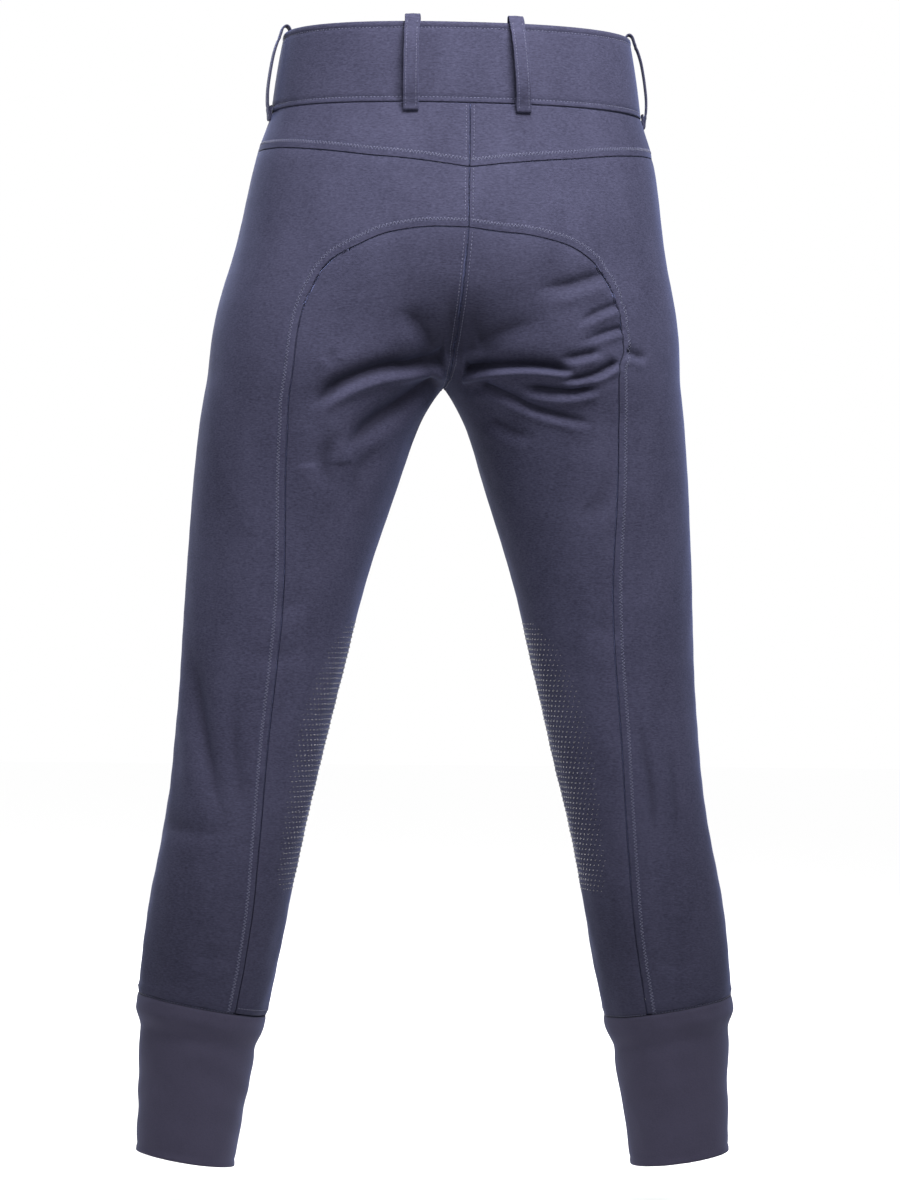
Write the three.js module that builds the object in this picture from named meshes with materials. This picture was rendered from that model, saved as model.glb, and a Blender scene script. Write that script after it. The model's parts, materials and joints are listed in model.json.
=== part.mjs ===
// Riding breeches, filled out as on a general figure: a hollow garment of thin cloth walls.
// Units are millimetres. +Z is up, -Y is the wearer's front, +X is the wearer's left.
// The origin is the centre of the waistband, where the wearer's waist holds the garment up.
//
// Each half of the garment is one sheet that runs from the centre back, round the outer side, to
// the centre front. Below the crotch it closes into a leg, along a seam at the front of the inner
// leg. A place on the sheet is given by u, its share of the way round (0 at the back end, 1/2 at
// the side, 1 at the front end), and its height z. Panels are blocks of cells of one grid on the
// sheet, so that neighbouring panels share their seam points.
import * as THREE from "three";

// ---------------------------------------------------------------- driving dimensions
const GAP = 0.3; // between neighbouring pieces
const CLOTH = 1.4; // bonded stretch cloth of the panels
const CUFF_CLOTH = 1.2; // thinner knit of the cuffs
const BAND_CLOTH = 3; // waistband, folded double over its interfacing
const BAND_HALF = 33; // half the height of the waistband
const SECTION_POWER = 2.3; // of the body's rounded sections: 2 is an ellipse

const CROTCH_Z = -257; // where the four inner corners meet
const BLEND_TOP = -128; // the body's section starts to part into two legs here
const SWAY = 9; // the hips stand this far to the wearer's left of the waist
const SWAY_END = -300; // and the sway is complete at this height
const INSEAM_TURN = THREE.MathUtils.degToRad(-38); // from the innermost line towards the front
const INSEAM_TURN_END = -430;

// Sections of the body. half is half its width, back and front are its reach from the origin.
const BODY = [
  { z: 33, half: 143.5, back: 101, front: 99 },
  { z: -33, half: 153.5, back: 107, front: 103 },
  { z: -66, half: 165, back: 114, front: 106 },
  { z: -118, half: 174, back: 126, front: 108 },
  { z: -160, half: 179.5, back: 133, front: 107 },
  { z: -205, half: 186.5, back: 135, front: 104 },
  { z: -257, half: 196, back: 127, front: 98 },
];

// Sections of a leg: its centre, half its width (rx) and half its depth (ry).
const LEG = [
  { z: -257, cx: 98, rx: 98, cy: 10, ry: 106 },
  { z: -270, cx: 105, rx: 94.5, cy: 8.5, ry: 101 },
  { z: -292, cx: 111, rx: 91, cy: 7, ry: 96.5 },
  { z: -340, cx: 121, rx: 85, cy: 4, ry: 89 },
  { z: -416, cx: 135.5, rx: 75, cy: 1, ry: 79 },
  { z: -516, cx: 150, rx: 65.5, cy: 1, ry: 69 },
  { z: -616, cx: 167, rx: 58.5, cy: 9, ry: 62 },
  { z: -690, cx: 181.5, rx: 58, cy: 15, ry: 61.5 },
  { z: -765, cx: 191.5, rx: 55, cy: 15, ry: 57 },
  { z: -790, cx: 194.5, rx: 49.5, cy: 14, ry: 52 },
  { z: -840, cx: 200, rx: 44.5, cy: 13, ry: 47 },
  { z: -905, cx: 206, rx: 40, cy: 13, ry: 43 },
];

// The seam down the back of the leg, as its distance from the middle of the garment.
const LEG_SEAM = [
  { z: -245, x: 133 },
  { z: -327, x: 136 },
  { z: -425, x: 134.5 },
  { z: -481, x: 138 },
  { z: -537, x: 143.5 },
  { z: -594, x: 147.5 },
  { z: -653, x: 151.5 },
  { z: -705, x: 156 },
  { z: -770, x: 168 },
];
const ARC = { top: -137, width: 133, height: 108, power: 2.5, corner: 104 }; // top of the seat
const YOKE = { dip: -87.5, side: -63, power: 1.1 }; // it hangs lowest at the centre back
const SIDE_ROW_Z = -150; // the row of the seat's arc, out at the side seam
const CROTCH_ROW_DROP = 33; // the row of the crotch runs this much lower at the side
const CUFF_SEAM = { z: -766.5, slope: 9.5 }; // lower on the inner leg by twice the slope
const HEM = { z: -893, slope: 6.5 };

// Columns of cells from the centre back round to the front, and rows of cells going down.
const SEAT_COLUMNS = 9;
const SIDE_COLUMNS = 8;
const FRONT_COLUMNS = 11;
const BACK_COLUMNS = SEAT_COLUMNS + SIDE_COLUMNS;
const COLUMNS = BACK_COLUMNS + FRONT_COLUMNS;
const YOKE_ROWS = 2;
const HIP_ROWS = 3;
const RISE_ROWS = 7;
const LEG_ROWS = 15;
const ARC_ROW = YOKE_ROWS + HIP_ROWS;
const CROTCH_ROW = ARC_ROW + RISE_ROWS;
const ROWS = CROTCH_ROW + LEG_ROWS;

// The largest folds: soft troughs pressed into the back, from one point to the other.
const FOLDS = [
  { side: 1, x: 12, z: -243, toX: 118, toZ: -272, width: 13, depth: 5 },
  { side: 1, x: 16, z: -266, toX: 82, toZ: -312, width: 12, depth: 3.5 },
  { side: 1, x: 196, z: -520, toX: 168, toZ: -640, width: 12, depth: 2.5 },
  { side: -1, x: 14, z: -243, toX: 104, toZ: -240, width: 11, depth: 5 },
  { side: -1, x: 20, z: -256, toX: 132, toZ: -292, width: 12, depth: 4.5 },
  { side: -1, x: 70, z: -196, toX: 128, toZ: -166, width: 12, depth: 2.5 },
];

const LOOP = { width: 12.5, cloth: 1.8, clear: 1, bulge: 8.6, rise: 4.5, foot: -38.5, tail: 16 };
// turn is the angle from the centre back towards the wearer's left, lean is out of the upright.
const LOOPS = [
  { name: "belt_loop_back_left", turn: 25, lean: 0 },
  { name: "belt_loop_back_right", turn: -21.5, lean: -4 },
  { name: "belt_loop_side_left", turn: 86, lean: 0 },
  { name: "belt_loop_side_right", turn: -86, lean: 0 },
  { name: "belt_loop_front_left", turn: 151, lean: 0 },
  { name: "belt_loop_front_right", turn: -151, lean: 0 },
];

const TAB = { over: 24, under: 20, ramp: 12 }; // waistband ends past the centre front
const BUTTON = { radius: 7.5, height: 3, lift: 0.8, x: -11, z: 14 };
const ZIP = { half: 12, top: -37, bottom: -150, cloth: 1, slider: 2.4, sliderHalf: 4 };

// ---------------------------------------------------------------- helpers
const { clamp, lerp, smoothstep, degToRad } = THREE.MathUtils;

// A smooth curve through one column of a table whose rows go down in z.
function at(table, column, z) {
  const last = table.length - 1;
  if (z >= table[0].z) return table[0][column];
  if (z <= table[last].z) return table[last][column];
  const i = table.findIndex((row) => row.z < z) - 1;
  const slope = (k) => {
    const above = table[Math.max(k - 1, 0)];
    const below = table[Math.min(k + 1, last)];
    return (below[column] - above[column]) / (below.z - above.z);
  };
  const step = table[i + 1].z - table[i].z;
  const t = (z - table[i].z) / step;
  const bend = t * t * (3 - 2 * t);
  return (
    lerp(table[i][column], table[i + 1][column], bend) +
    step * (slope(i) * t * (1 - t) ** 2 - slope(i + 1) * t * t * (1 - t))
  );
}

// The outline of the body at one height. turn is 0 at the centre back and PI at the centre front.
function bodyPoint(turn, z) {
  const depth = Math.cos(turn) > 0 ? at(BODY, "back", z) : at(BODY, "front", z);
  const across = Math.abs(Math.sin(turn)) / at(BODY, "half", z);
  const along = Math.abs(Math.cos(turn)) / depth;
  const reach = (across ** SECTION_POWER + along ** SECTION_POWER) ** (-1 / SECTION_POWER);
  return new THREE.Vector3(reach * Math.sin(turn), reach * Math.cos(turn), z);
}

// The angle round a leg: 0 at its innermost line, then its back, outer side and front.
function legTurn(u, z) {
  const part = smoothstep(-z, -CROTCH_Z, -INSEAM_TURN_END);
  return 2 * Math.PI * u + INSEAM_TURN * part * Math.cos(Math.PI * u) ** 2;
}

function legPoint(u, z) {
  const turn = legTurn(u, z);
  const x = at(LEG, "cx", z) - at(LEG, "rx", z) * Math.cos(turn);
  return new THREE.Vector3(x, at(LEG, "cy", z) + at(LEG, "ry", z) * Math.sin(turn), z);
}

// How much a point belongs to the two ends of a row, which follow the curve of the crotch.
const endShare = (u) => Math.cos(Math.PI * u) ** 8;

// A point of the left half of the garment.
function skin(u, z) {
  const down = clamp((BLEND_TOP - z) / (BLEND_TOP - CROTCH_Z), 0, 1);
  const leg = lerp(smoothstep(down, 0, 1), 1 - Math.sqrt(1 - down * down), endShare(u));
  const point = bodyPoint(Math.PI * u, z).lerp(legPoint(u, z), leg);
  point.x = Math.max(point.x, 0);
  return point;
}

// The u of the point at a distance x from the middle, between two values of u.
function shareAt(x, z, low, high) {
  const rising = skin(high, z).x > skin(low, z).x;
  for (let n = 0; n < 30; n++) {
    const middle = (low + high) / 2;
    if (skin(middle, z).x < x === rising) low = middle;
    else high = middle;
  }
  return (low + high) / 2;
}

const sway = (z) => SWAY * smoothstep(-z, BAND_HALF, -SWAY_END);

// ---------------------------------------------------------------- the grid of a half
// The four level lines that the rows run between, each a height for a column's u.
const arcZ = (x) => {
  const share = Math.min(x / ARC.width, 1) ** ARC.power;
  return ARC.top - ARC.height * (1 - (1 - share) ** (1 / ARC.power));
};
const waistLine = () => -BAND_HALF - GAP;
const yokeLine = (u, j) => {
  if (j >= BACK_COLUMNS) return YOKE.side;
  const left = 1 - skin(u, YOKE.side).x / at(BODY, "half", YOKE.side);
  return lerp(YOKE.side, YOKE.dip, left ** YOKE.power);
};
const arcLine = (u, j) => {
  const cornerZ = arcZ(ARC.corner);
  if (j <= SEAT_COLUMNS) return arcZ((ARC.corner * j) / SEAT_COLUMNS);
  return lerp(cornerZ, SIDE_ROW_Z, Math.min((j - SEAT_COLUMNS) / SIDE_COLUMNS, 1));
};
const crotchLine = (u) => CROTCH_Z - CROTCH_ROW_DROP * Math.sin(Math.PI * u) ** 2;
const slopingLine = (line, u) => line.z - line.slope * Math.cos(legTurn(u, line.z));
const cuffLine = (u) => slopingLine(CUFF_SEAM, u) + GAP / 2;
const BANDS = [
  { rows: YOKE_ROWS, from: waistLine, to: yokeLine },
  { rows: HIP_ROWS, from: yokeLine, to: arcLine },
  { rows: RISE_ROWS, from: arcLine, to: crotchLine, crowded: true },
  { rows: LEG_ROWS, from: crotchLine, to: cuffLine, power: 1.12 },
];

// How far from the middle the line between the seat and side columns runs, above the seat too.
function seatEdge(z) {
  if (z < LEG_SEAM[0].z) return at(LEG_SEAM, "x", z);
  const low = arcZ(ARC.corner);
  if (z > low) return lerp(ARC.corner, 72, (z - low) / (-BAND_HALF - low));
  const share = clamp((ARC.top - z) / ARC.height, 0, 1);
  return ARC.width * (1 - (1 - share) ** ARC.power) ** (1 / ARC.power);
}

function columnShare(j, seam) {
  if (j <= SEAT_COLUMNS) return (seam * j) / SEAT_COLUMNS;
  if (j <= BACK_COLUMNS) return lerp(seam, 0.5, (j - SEAT_COLUMNS) / SIDE_COLUMNS);
  return lerp(0.5, 1, (j - BACK_COLUMNS) / FRONT_COLUMNS);
}

// Rows of points, each from the centre back to the centre front.
function halfGrid() {
  const grid = [];
  BANDS.forEach((band, b) => {
    for (let k = b ? 1 : 0; k <= band.rows; k++) {
      const share = k / band.rows;
      const height = (u, j) => {
        const even = share ** (band.power ?? 1);
        const crowd = Math.sin((Math.PI / 2) * share);
        const part = band.crowded ? lerp(even, crowd, endShare(u)) : even;
        return lerp(band.from(u, j), band.to(u, j), part);
      };
      let seam = 0.25;
      for (let n = 0; n < 6; n++) {
        const z = height(seam, SEAT_COLUMNS);
        seam = shareAt(seatEdge(z), z, 0.1, 0.5);
      }
      const row = [];
      for (let j = 0; j <= COLUMNS; j++) {
        const u = columnShare(j, seam);
        row.push(skin(u, height(u, j)));
      }
      grid.push(row);
    }
  });
  return grid;
}

// Unit steps to the next row and column, and the outward normal, at each point of a grid.
// beyond(i, j) gives the point one column past either end of a row.
function frames(grid, beyond) {
  return grid.map((row, i) =>
    row.map((point, j) => {
      const above = grid[Math.max(i - 1, 0)][j];
      const below = grid[Math.min(i + 1, grid.length - 1)][j];
      const down = below.clone().sub(above).normalize();
      const before = row[j - 1] ?? beyond(i, -1);
      const after = row[j + 1] ?? beyond(i, row.length);
      const onward = after.clone().sub(before).normalize();
      const normal = onward.clone().cross(down).normalize();
      return { point, down, onward, normal };
    }),
  );
}

// Past the ends of a half's rows lies its mirrored half or, below the crotch, its own other end.
function beyondHalf(grid) {
  return (i, j) => {
    const [near, far] = j < 0 ? [1, COLUMNS - 1] : [COLUMNS - 1, 1];
    if (i > CROTCH_ROW) return grid[i][far];
    const { x, y, z } = grid[i][near];
    return new THREE.Vector3(-x, y, z);
  };
}

function foldDepth(side, point, normal) {
  const facing = smoothstep(normal.y, 0, 0.4) * smoothstep(point.x, 0, 26); // none at the seam
  return FOLDS.filter((fold) => fold.side === side).reduce((sum, fold) => {
    const start = new THREE.Vector2(fold.x, fold.z);
    const way = new THREE.Vector2(fold.toX, fold.toZ).sub(start);
    const from = new THREE.Vector2(point.x, point.z).sub(start);
    const along = clamp(from.dot(way) / way.lengthSq(), 0, 1);
    const apart = from.sub(way.multiplyScalar(along)).length();
    const taper = Math.sqrt(Math.sin(Math.PI * lerp(0.12, 0.88, along)));
    return sum + facing * taper * fold.depth * Math.exp(-((apart / fold.width) ** 2));
  }, 0);
}

// ---------------------------------------------------------------- walls
// A closed wall between an outer and an inner grid of points, over the cells that `holds` keeps.
// `turned` reverses the faces, for the mirrored half, and `around` joins the last column to the first.
function wall(outer, inner, holds, { turned = false, around = false } = {}) {
  const rows = outer.length - 1;
  const points = outer[0].length;
  const columns = around ? points : points - 1;
  const held = (i, j) => {
    const cell = around ? (j + columns) % columns : j;
    return i >= 0 && i < rows && cell >= 0 && cell < columns && holds(i, cell);
  };
  const positions = [outer, inner].flatMap((grid) => grid.flat().flatMap((p) => p.toArray()));
  const id = (layer, i, j) => layer * (rows + 1) * points + i * points + (j % points);
  const faces = [];
  const quad = (a, b, c, d) => {
    const corners = turned ? [a, b, c, a, c, d] : [a, c, b, a, d, c];
    faces.push(...corners);
  };
  for (let i = 0; i < rows; i++) {
    for (let j = 0; j < columns; j++) {
      if (!held(i, j)) continue;
      const [a, b, c, d] = [[i, j], [i + 1, j], [i + 1, j + 1], [i, j + 1]];
      quad(id(0, ...a), id(0, ...b), id(0, ...c), id(0, ...d));
      quad(id(1, ...a), id(1, ...d), id(1, ...c), id(1, ...b));
      const rim = (p, q) => quad(id(0, ...p), id(1, ...p), id(1, ...q), id(0, ...q));
      if (!held(i, j - 1)) rim(a, b);
      if (!held(i + 1, j)) rim(b, c);
      if (!held(i, j + 1)) rim(c, d);
      if (!held(i - 1, j)) rim(d, a);
    }
  }
  const geometry = new THREE.BufferGeometry();
  geometry.setAttribute("position", new THREE.Float32BufferAttribute(positions, 3));
  geometry.setIndex(faces);
  geometry.computeVertexNormals();
  return geometry;
}

// One panel of a half: its cells of the grid, drawn in from their edges by half the seam gap.
function panelGeometry(half, side, holds) {
  const held = (i, j) => i >= 0 && i < ROWS && j >= 0 && j < COLUMNS && holds(i, j);
  const corners = [[-1, -1], [-1, 1], [1, -1], [1, 1]];
  const placed = (cell, i, j, depth) => {
    let [down, onward] = [0, 0];
    for (const [di, dj] of corners) {
      if (held(i + (di - 1) / 2, j + (dj - 1) / 2)) continue;
      down -= di;
      onward -= dj;
    }
    const point = cell.point
      .clone()
      .addScaledVector(cell.down, (clamp(down, -1, 1) * GAP) / 2)
      .addScaledVector(cell.onward, (clamp(onward, -1, 1) * GAP) / 2)
      .addScaledVector(cell.normal, -depth - foldDepth(side, cell.point, cell.normal));
    point.x = side * Math.max(point.x, GAP / 2) + sway(cell.point.z);
    return point;
  };
  const layer = (depth) =>
    half.map((row, i) => row.map((cell, j) => placed(cell, i, j, depth)));
  return wall(layer(0), layer(CLOTH), holds, { turned: side < 0 });
}

const PANELS = {
  back_yoke: (i, j) => i < YOKE_ROWS && j < BACK_COLUMNS,
  side_panel: (i, j) =>
    i >= YOKE_ROWS && j < BACK_COLUMNS && (i < ARC_ROW || j >= SEAT_COLUMNS),
  seat_panel: (i, j) => i >= ARC_ROW && j < SEAT_COLUMNS,
  front_panel: (i, j) => j >= BACK_COLUMNS,
};

// ---------------------------------------------------------------- cuffs
function cuffGeometry(side) {
  const columns = 22;
  const heights = [0, 0.1, 0.2, 0.55, 1];
  const grid = heights.map((share) =>
    Array.from({ length: columns }, (_, j) => {
      const u = j / columns;
      const top = slopingLine(CUFF_SEAM, u) - GAP / 2;
      return legPoint(u, lerp(top, slopingLine(HEM, u), share));
    }),
  );
  const layer = (depth) =>
    frames(grid, (i, j) => grid[i][(j + columns) % columns]).map((row) =>
      row.map(({ point, normal }) => {
        const moved = point.clone().addScaledVector(normal, -depth);
        return moved.setX(side * moved.x + sway(point.z));
      }),
    );
  return wall(layer(0), layer(CUFF_CLOTH), () => true, { turned: side < 0, around: true });
}

// ---------------------------------------------------------------- waistband
// The strip runs from its under end, round the wearer's right, back and left, to its upper end,
// which laps over the under end at the centre front.
function bandPoint(turn, z, depth) {
  const face = bodyPoint(turn, z);
  const toFront = Math.PI - turn; // 0 at the centre front, before the lap
  const lapped = (TAB.over + TAB.ramp) / at(BODY, "front", z);
  const level = (TAB.over + 3) / at(BODY, "front", z);
  const under = 1 - smoothstep(toFront, level, lapped);
  const inwards = depth + under * (BAND_CLOTH + GAP);
  return face.multiplyScalar(1 - inwards / Math.hypot(face.x, face.y)).setZ(z);
}

function waistbandGeometry() {
  const columns = 72;
  const heights = [BAND_HALF, 0, -BAND_HALF];
  const start = Math.PI + TAB.under / at(BODY, "front", 0);
  const end = -Math.PI - TAB.over / at(BODY, "front", 0);
  const layer = (depth) =>
    heights.map((z) =>
      Array.from({ length: columns + 1 }, (_, j) => {
        const turn = lerp(start, end, j / columns);
        return bandPoint(turn, z, depth);
      }),
    );
  return wall(layer(0), layer(BAND_CLOTH), () => true, { turned: true });
}

// ---------------------------------------------------------------- belt loops
// A loop hooks over the top edge of the band, bows out to let a belt through, and ends just below
// the band's lower seam. x is the way out from the band's face, y is up.
function loopProfile(faceAt) {
  const middle = LOOP.cloth / 2;
  const top = BAND_HALF + LOOP.rise;
  const near = LOOP.clear + middle;
  const inside = -BAND_CLOTH - near;
  const out = LOOP.bulge + middle;
  const line = [
    [inside, BAND_HALF - LOOP.tail],
    [inside, top - 3],
    [inside / 2 + near / 2, top],
    [near + 1.2, top - 2.2],
    [out - 1.4, BAND_HALF - 9],
    [out, BAND_HALF - 19],
    [out, -BAND_HALF + 19],
    [out - 1.4, -BAND_HALF + 8],
    [near + 3.4, -BAND_HALF + 0.5],
    [near + 2.6, LOOP.foot],
  ].map(([x, y]) => new THREE.Vector2(x + faceAt(y), y));
  const offset = (way) =>
    line.map((point, k) => {
      const before = line[Math.max(k - 1, 0)];
      const after = line[Math.min(k + 1, line.length - 1)];
      const along = after.clone().sub(before).normalize();
      return new THREE.Vector2(-along.y, along.x).multiplyScalar(way * middle).add(point);
    });
  return new THREE.Shape([...offset(1), ...offset(-1).reverse()]);
}

function beltLoop({ turn, lean }) {
  const angle = degToRad(turn);
  const face = bandPoint(angle, 0, 0);
  const next = bandPoint(angle + 0.02, 0, 0);
  const outward = Math.atan2(-(next.x - face.x), next.y - face.y) + Math.PI;
  const way = new THREE.Vector3(Math.cos(outward), Math.sin(outward), 0);
  const faceAt = (z) => bandPoint(angle, z, 0).sub(face).dot(way);
  const geometry = new THREE.ExtrudeGeometry(loopProfile(faceAt), {
    depth: LOOP.width,
    bevelEnabled: false,
    curveSegments: 1,
  });
  geometry.translate(0, 0, -LOOP.width / 2);
  geometry.rotateX(Math.PI / 2); // the profile now stands up, with its width along Y
  geometry.rotateX(degToRad(lean));
  geometry.rotateZ(outward);
  return geometry.translate(face.x, face.y, 0);
}

// ---------------------------------------------------------------- fly
// The zip lies behind the two front edges: a strip of tape, thicker at the top for its slider.
function zipGeometry() {
  const across = [-1, -ZIP.sliderHalf / ZIP.half, ZIP.sliderHalf / ZIP.half, 1];
  const sliderRow = 1;
  const heights = [ZIP.top, ZIP.top - 14, ZIP.top - 15, -90, -120, ZIP.bottom];
  const layer = (depth) =>
    heights.map((z, i) =>
      across.map((part, j) => {
        const u = shareAt(Math.abs(part) * ZIP.half, z, 0.5, 1);
        const face = skin(u, z);
        const thick = depth && i <= sliderRow && Math.abs(across[j]) < 1 ? ZIP.slider : depth;
        const y = face.y + CLOTH + GAP + 0.2 + thick;
        return new THREE.Vector3(part * ZIP.half + sway(z), y, z);
      }),
    );
  return wall(layer(0), layer(ZIP.cloth), () => true, { turned: true });
}

function button(z) {
  const { radius, height } = BUTTON;
  const profile = [
    [0, 0],
    [radius - 0.6, 0],
    [radius, 0.8],
    [radius, height - 0.8],
    [radius - 0.9, height],
    [radius - 2.6, height - 0.5],
    [0, height - 0.5],
  ].map(([r, y]) => new THREE.Vector2(r, y));
  const turn = Math.PI + BUTTON.x / at(BODY, "front", z) + 2 * Math.PI;
  const face = bodyPoint(turn, z);
  const normal = new THREE.Vector3(face.x, face.y * 1.9, 0).normalize();
  const mesh = new THREE.Mesh(new THREE.LatheGeometry(profile, 20));
  mesh.quaternion.setFromUnitVectors(new THREE.Vector3(0, 1, 0), normal);
  mesh.position.copy(face.setZ(z)).addScaledVector(normal, BUTTON.lift);
  return mesh;
}

// ---------------------------------------------------------------- the garment
const finish = (color, roughness, metalness = 0) =>
  new THREE.MeshStandardMaterial({ color, roughness, metalness });
const bodyCloth = finish(0x454a68, 0.85);
const cuffCloth = finish(0x3d3c50, 0.9);
const zipTape = finish(0x2c2e44, 0.8);
const buttonMetal = finish(0x3a3c44, 0.4, 0.9);

const breeches = new THREE.Group();
function add(name, shape, material) {
  const mesh = shape.isMesh ? shape : new THREE.Mesh(shape);
  mesh.name = name;
  mesh.material = material;
  breeches.add(mesh);
}

const points = halfGrid();
const half = frames(points, beyondHalf(points));
// At the crotch four corners meet face down, and each is drawn in towards its own panel.
[[0, 1], [COLUMNS, -1]].forEach(([j, way]) => {
  half[CROTCH_ROW][j].normal.set(0, 0, -1);
  half[CROTCH_ROW][j].onward.set(way, 1, 0);
});
for (const [word, side] of Object.entries({ left: 1, right: -1 })) {
  for (const [name, holds] of Object.entries(PANELS)) {
    add(`${name}_${word}`, panelGeometry(half, side, holds), bodyCloth);
  }
  add(`cuff_${word}`, cuffGeometry(side), cuffCloth);
}
add("waistband", waistbandGeometry(), bodyCloth);
LOOPS.forEach((loop) => add(loop.name, beltLoop(loop), bodyCloth));
add("fly_zip", zipGeometry(), zipTape);
add("waist_button_upper", button(BUTTON.z), buttonMetal);
add("waist_button_lower", button(-BUTTON.z), buttonMetal);

export default breeches;
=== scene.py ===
# %% [markdown]
# # Riding breeches, filled out as worn
# The garment is made of thin stretch cloth: two halves that meet in the middle, each cut as a
# yoke, a side panel, a seat panel and a front panel, with a knit cuff at the ankle and one wide
# waistband with belt loops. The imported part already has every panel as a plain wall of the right
# size. Here each wall becomes real cloth, with seams that sink, stitches, folds and a weave.
#
# All sizes are in metres. +Z is up, the wearer's front faces -Y and the wearer's left is +X.

import json
import math

import bmesh
import bpy
import numpy as np
from mathutils import Matrix, Vector
from mathutils.bvhtree import BVHTree
from mathutils.kdtree import KDTree

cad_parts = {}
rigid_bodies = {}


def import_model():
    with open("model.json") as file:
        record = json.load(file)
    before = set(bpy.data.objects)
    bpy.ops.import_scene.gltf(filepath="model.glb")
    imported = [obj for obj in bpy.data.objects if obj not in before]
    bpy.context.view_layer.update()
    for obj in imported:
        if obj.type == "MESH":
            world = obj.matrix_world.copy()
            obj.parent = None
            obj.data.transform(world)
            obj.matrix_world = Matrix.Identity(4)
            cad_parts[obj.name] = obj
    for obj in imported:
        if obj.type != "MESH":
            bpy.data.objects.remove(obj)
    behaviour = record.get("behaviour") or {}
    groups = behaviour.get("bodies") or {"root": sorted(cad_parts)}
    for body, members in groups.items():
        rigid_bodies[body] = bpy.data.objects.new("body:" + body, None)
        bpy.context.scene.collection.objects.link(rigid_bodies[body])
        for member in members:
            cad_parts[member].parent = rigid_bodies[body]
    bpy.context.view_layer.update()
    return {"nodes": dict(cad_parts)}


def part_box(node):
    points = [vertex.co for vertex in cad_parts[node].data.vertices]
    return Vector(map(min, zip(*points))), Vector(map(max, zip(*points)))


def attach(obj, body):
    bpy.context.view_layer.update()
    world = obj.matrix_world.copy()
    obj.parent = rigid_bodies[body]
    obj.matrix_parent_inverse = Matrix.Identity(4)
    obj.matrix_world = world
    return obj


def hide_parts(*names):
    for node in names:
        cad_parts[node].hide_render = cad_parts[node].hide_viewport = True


for leftover in list(bpy.data.objects):
    bpy.data.objects.remove(leftover)
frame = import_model()
MM = 0.001
rng = np.random.default_rng(7)

# %% [markdown]
# ## The outer face of a wall
# A packed panel is a closed wall: an outer face, an inner face and a narrow rim. Only the outer
# face is wanted, because the new cloth gets its own thickness later. The two faces are told apart
# from the rim, whose faces all have an edge as short as the cloth is thick, by walking over the
# edges that bend only a little. The outer face is the one that has the other behind it.

# %% Outer face of a wall
BEND = math.radians(60)
RIM_EDGE = 1.9 * MM


def faces_of_a_wall(mesh):
    """The wall's groups of faces that bend gently into each other, the largest first."""
    broad = [f for f in mesh.faces if min(e.calc_length() for e in f.edges) > RIM_EDGE]
    unseen, groups = set(broad), []
    while unseen:
        group, edge_of_group = [], [unseen.pop()]
        while edge_of_group:
            face = edge_of_group.pop()
            group.append(face)
            for edge in face.edges:
                for other in edge.link_faces:
                    if other in unseen and edge.calc_face_angle(0.0) < BEND:
                        unseen.discard(other)
                        edge_of_group.append(other)
        groups.append(group)
    return sorted(groups, key=lambda g: -sum(f.calc_area() for f in g))


def outer_face(node):
    """A new bmesh of the node's outer face, in four-sided cells where it can be."""
    mesh = bmesh.new()
    mesh.from_mesh(frame["nodes"][node].data)
    bmesh.ops.remove_doubles(mesh, verts=mesh.verts, dist=0.01 * MM)
    one, two = faces_of_a_wall(mesh)[:2]
    other_points = {v for f in two for v in f.verts}
    tree = KDTree(len(other_points))
    for i, v in enumerate(other_points):
        tree.insert(v.co, i)
    tree.balance()
    ahead = 0.0
    for face in one:
        middle = face.calc_center_median()
        ahead += (tree.find(middle)[0] - middle).dot(face.normal)
    kept = set(two if ahead > 0 else one)
    extra = [f for f in mesh.faces if f not in kept]
    bmesh.ops.delete(mesh, geom=extra, context="FACES")
    threes = len(mesh.faces)
    bmesh.ops.join_triangles(
        mesh,
        faces=mesh.faces[:],
        angle_face_threshold=math.radians(50),
        angle_shape_threshold=math.radians(80),
        topology_influence=1.5,
    )
    left_over = sum(len(f.verts) == 3 for f in mesh.faces)
    print(f"{node}: {threes} triangles, {len(mesh.faces)} cells, {left_over} left as triangles")
    return mesh


PANELS = [
    f"{name}_{side}"
    for side in ("left", "right")
    for name in ("back_yoke", "side_panel", "seat_panel", "front_panel")
]
patches = {node: outer_face(node) for node in PANELS}

# %% [markdown]
# ## One smooth sheet
# The eight faces are welded where they meet, so that folds can run across the seams as they do in
# sewn cloth. Subdivision rounds the cells into one smooth skin. Each cell remembers its panel in
# its material index, which subdivision passes on to the smaller cells.

# %% Weld and smooth
SEAM_WELD = 0.5 * MM
FINENESS = 3


def joined_mesh(name, parts):
    """One mesh of several bmeshes, each cell marked with the number of its part."""
    whole = bmesh.new()
    for number, part in enumerate(parts):
        seen = [whole.verts.new(v.co) for v in part.verts]
        part.verts.index_update()
        for face in part.faces:
            whole.faces.new([seen[v.index] for v in face.verts]).material_index = number
    bmesh.ops.remove_doubles(whole, verts=whole.verts, dist=SEAM_WELD)
    data = bpy.data.meshes.new(name)
    whole.to_mesh(data)
    for number in range(len(parts)):
        data.materials.append(None)
    return data


def applied(obj):
    """The object's mesh with its modifiers applied; the object is removed."""
    bpy.context.view_layer.update()
    evaluated = obj.evaluated_get(bpy.context.evaluated_depsgraph_get())
    data = bpy.data.meshes.new_from_object(evaluated)
    bpy.data.objects.remove(obj)
    return data


def placed(name, data):
    """A new object in the scene that shows a mesh."""
    obj = bpy.data.objects.new(name, data)
    bpy.context.scene.collection.objects.link(obj)
    return obj


def points_of(data):
    flat = np.zeros(len(data.vertices) * 3)
    data.vertices.foreach_get("co", flat)
    return flat.reshape(-1, 3)


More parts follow.
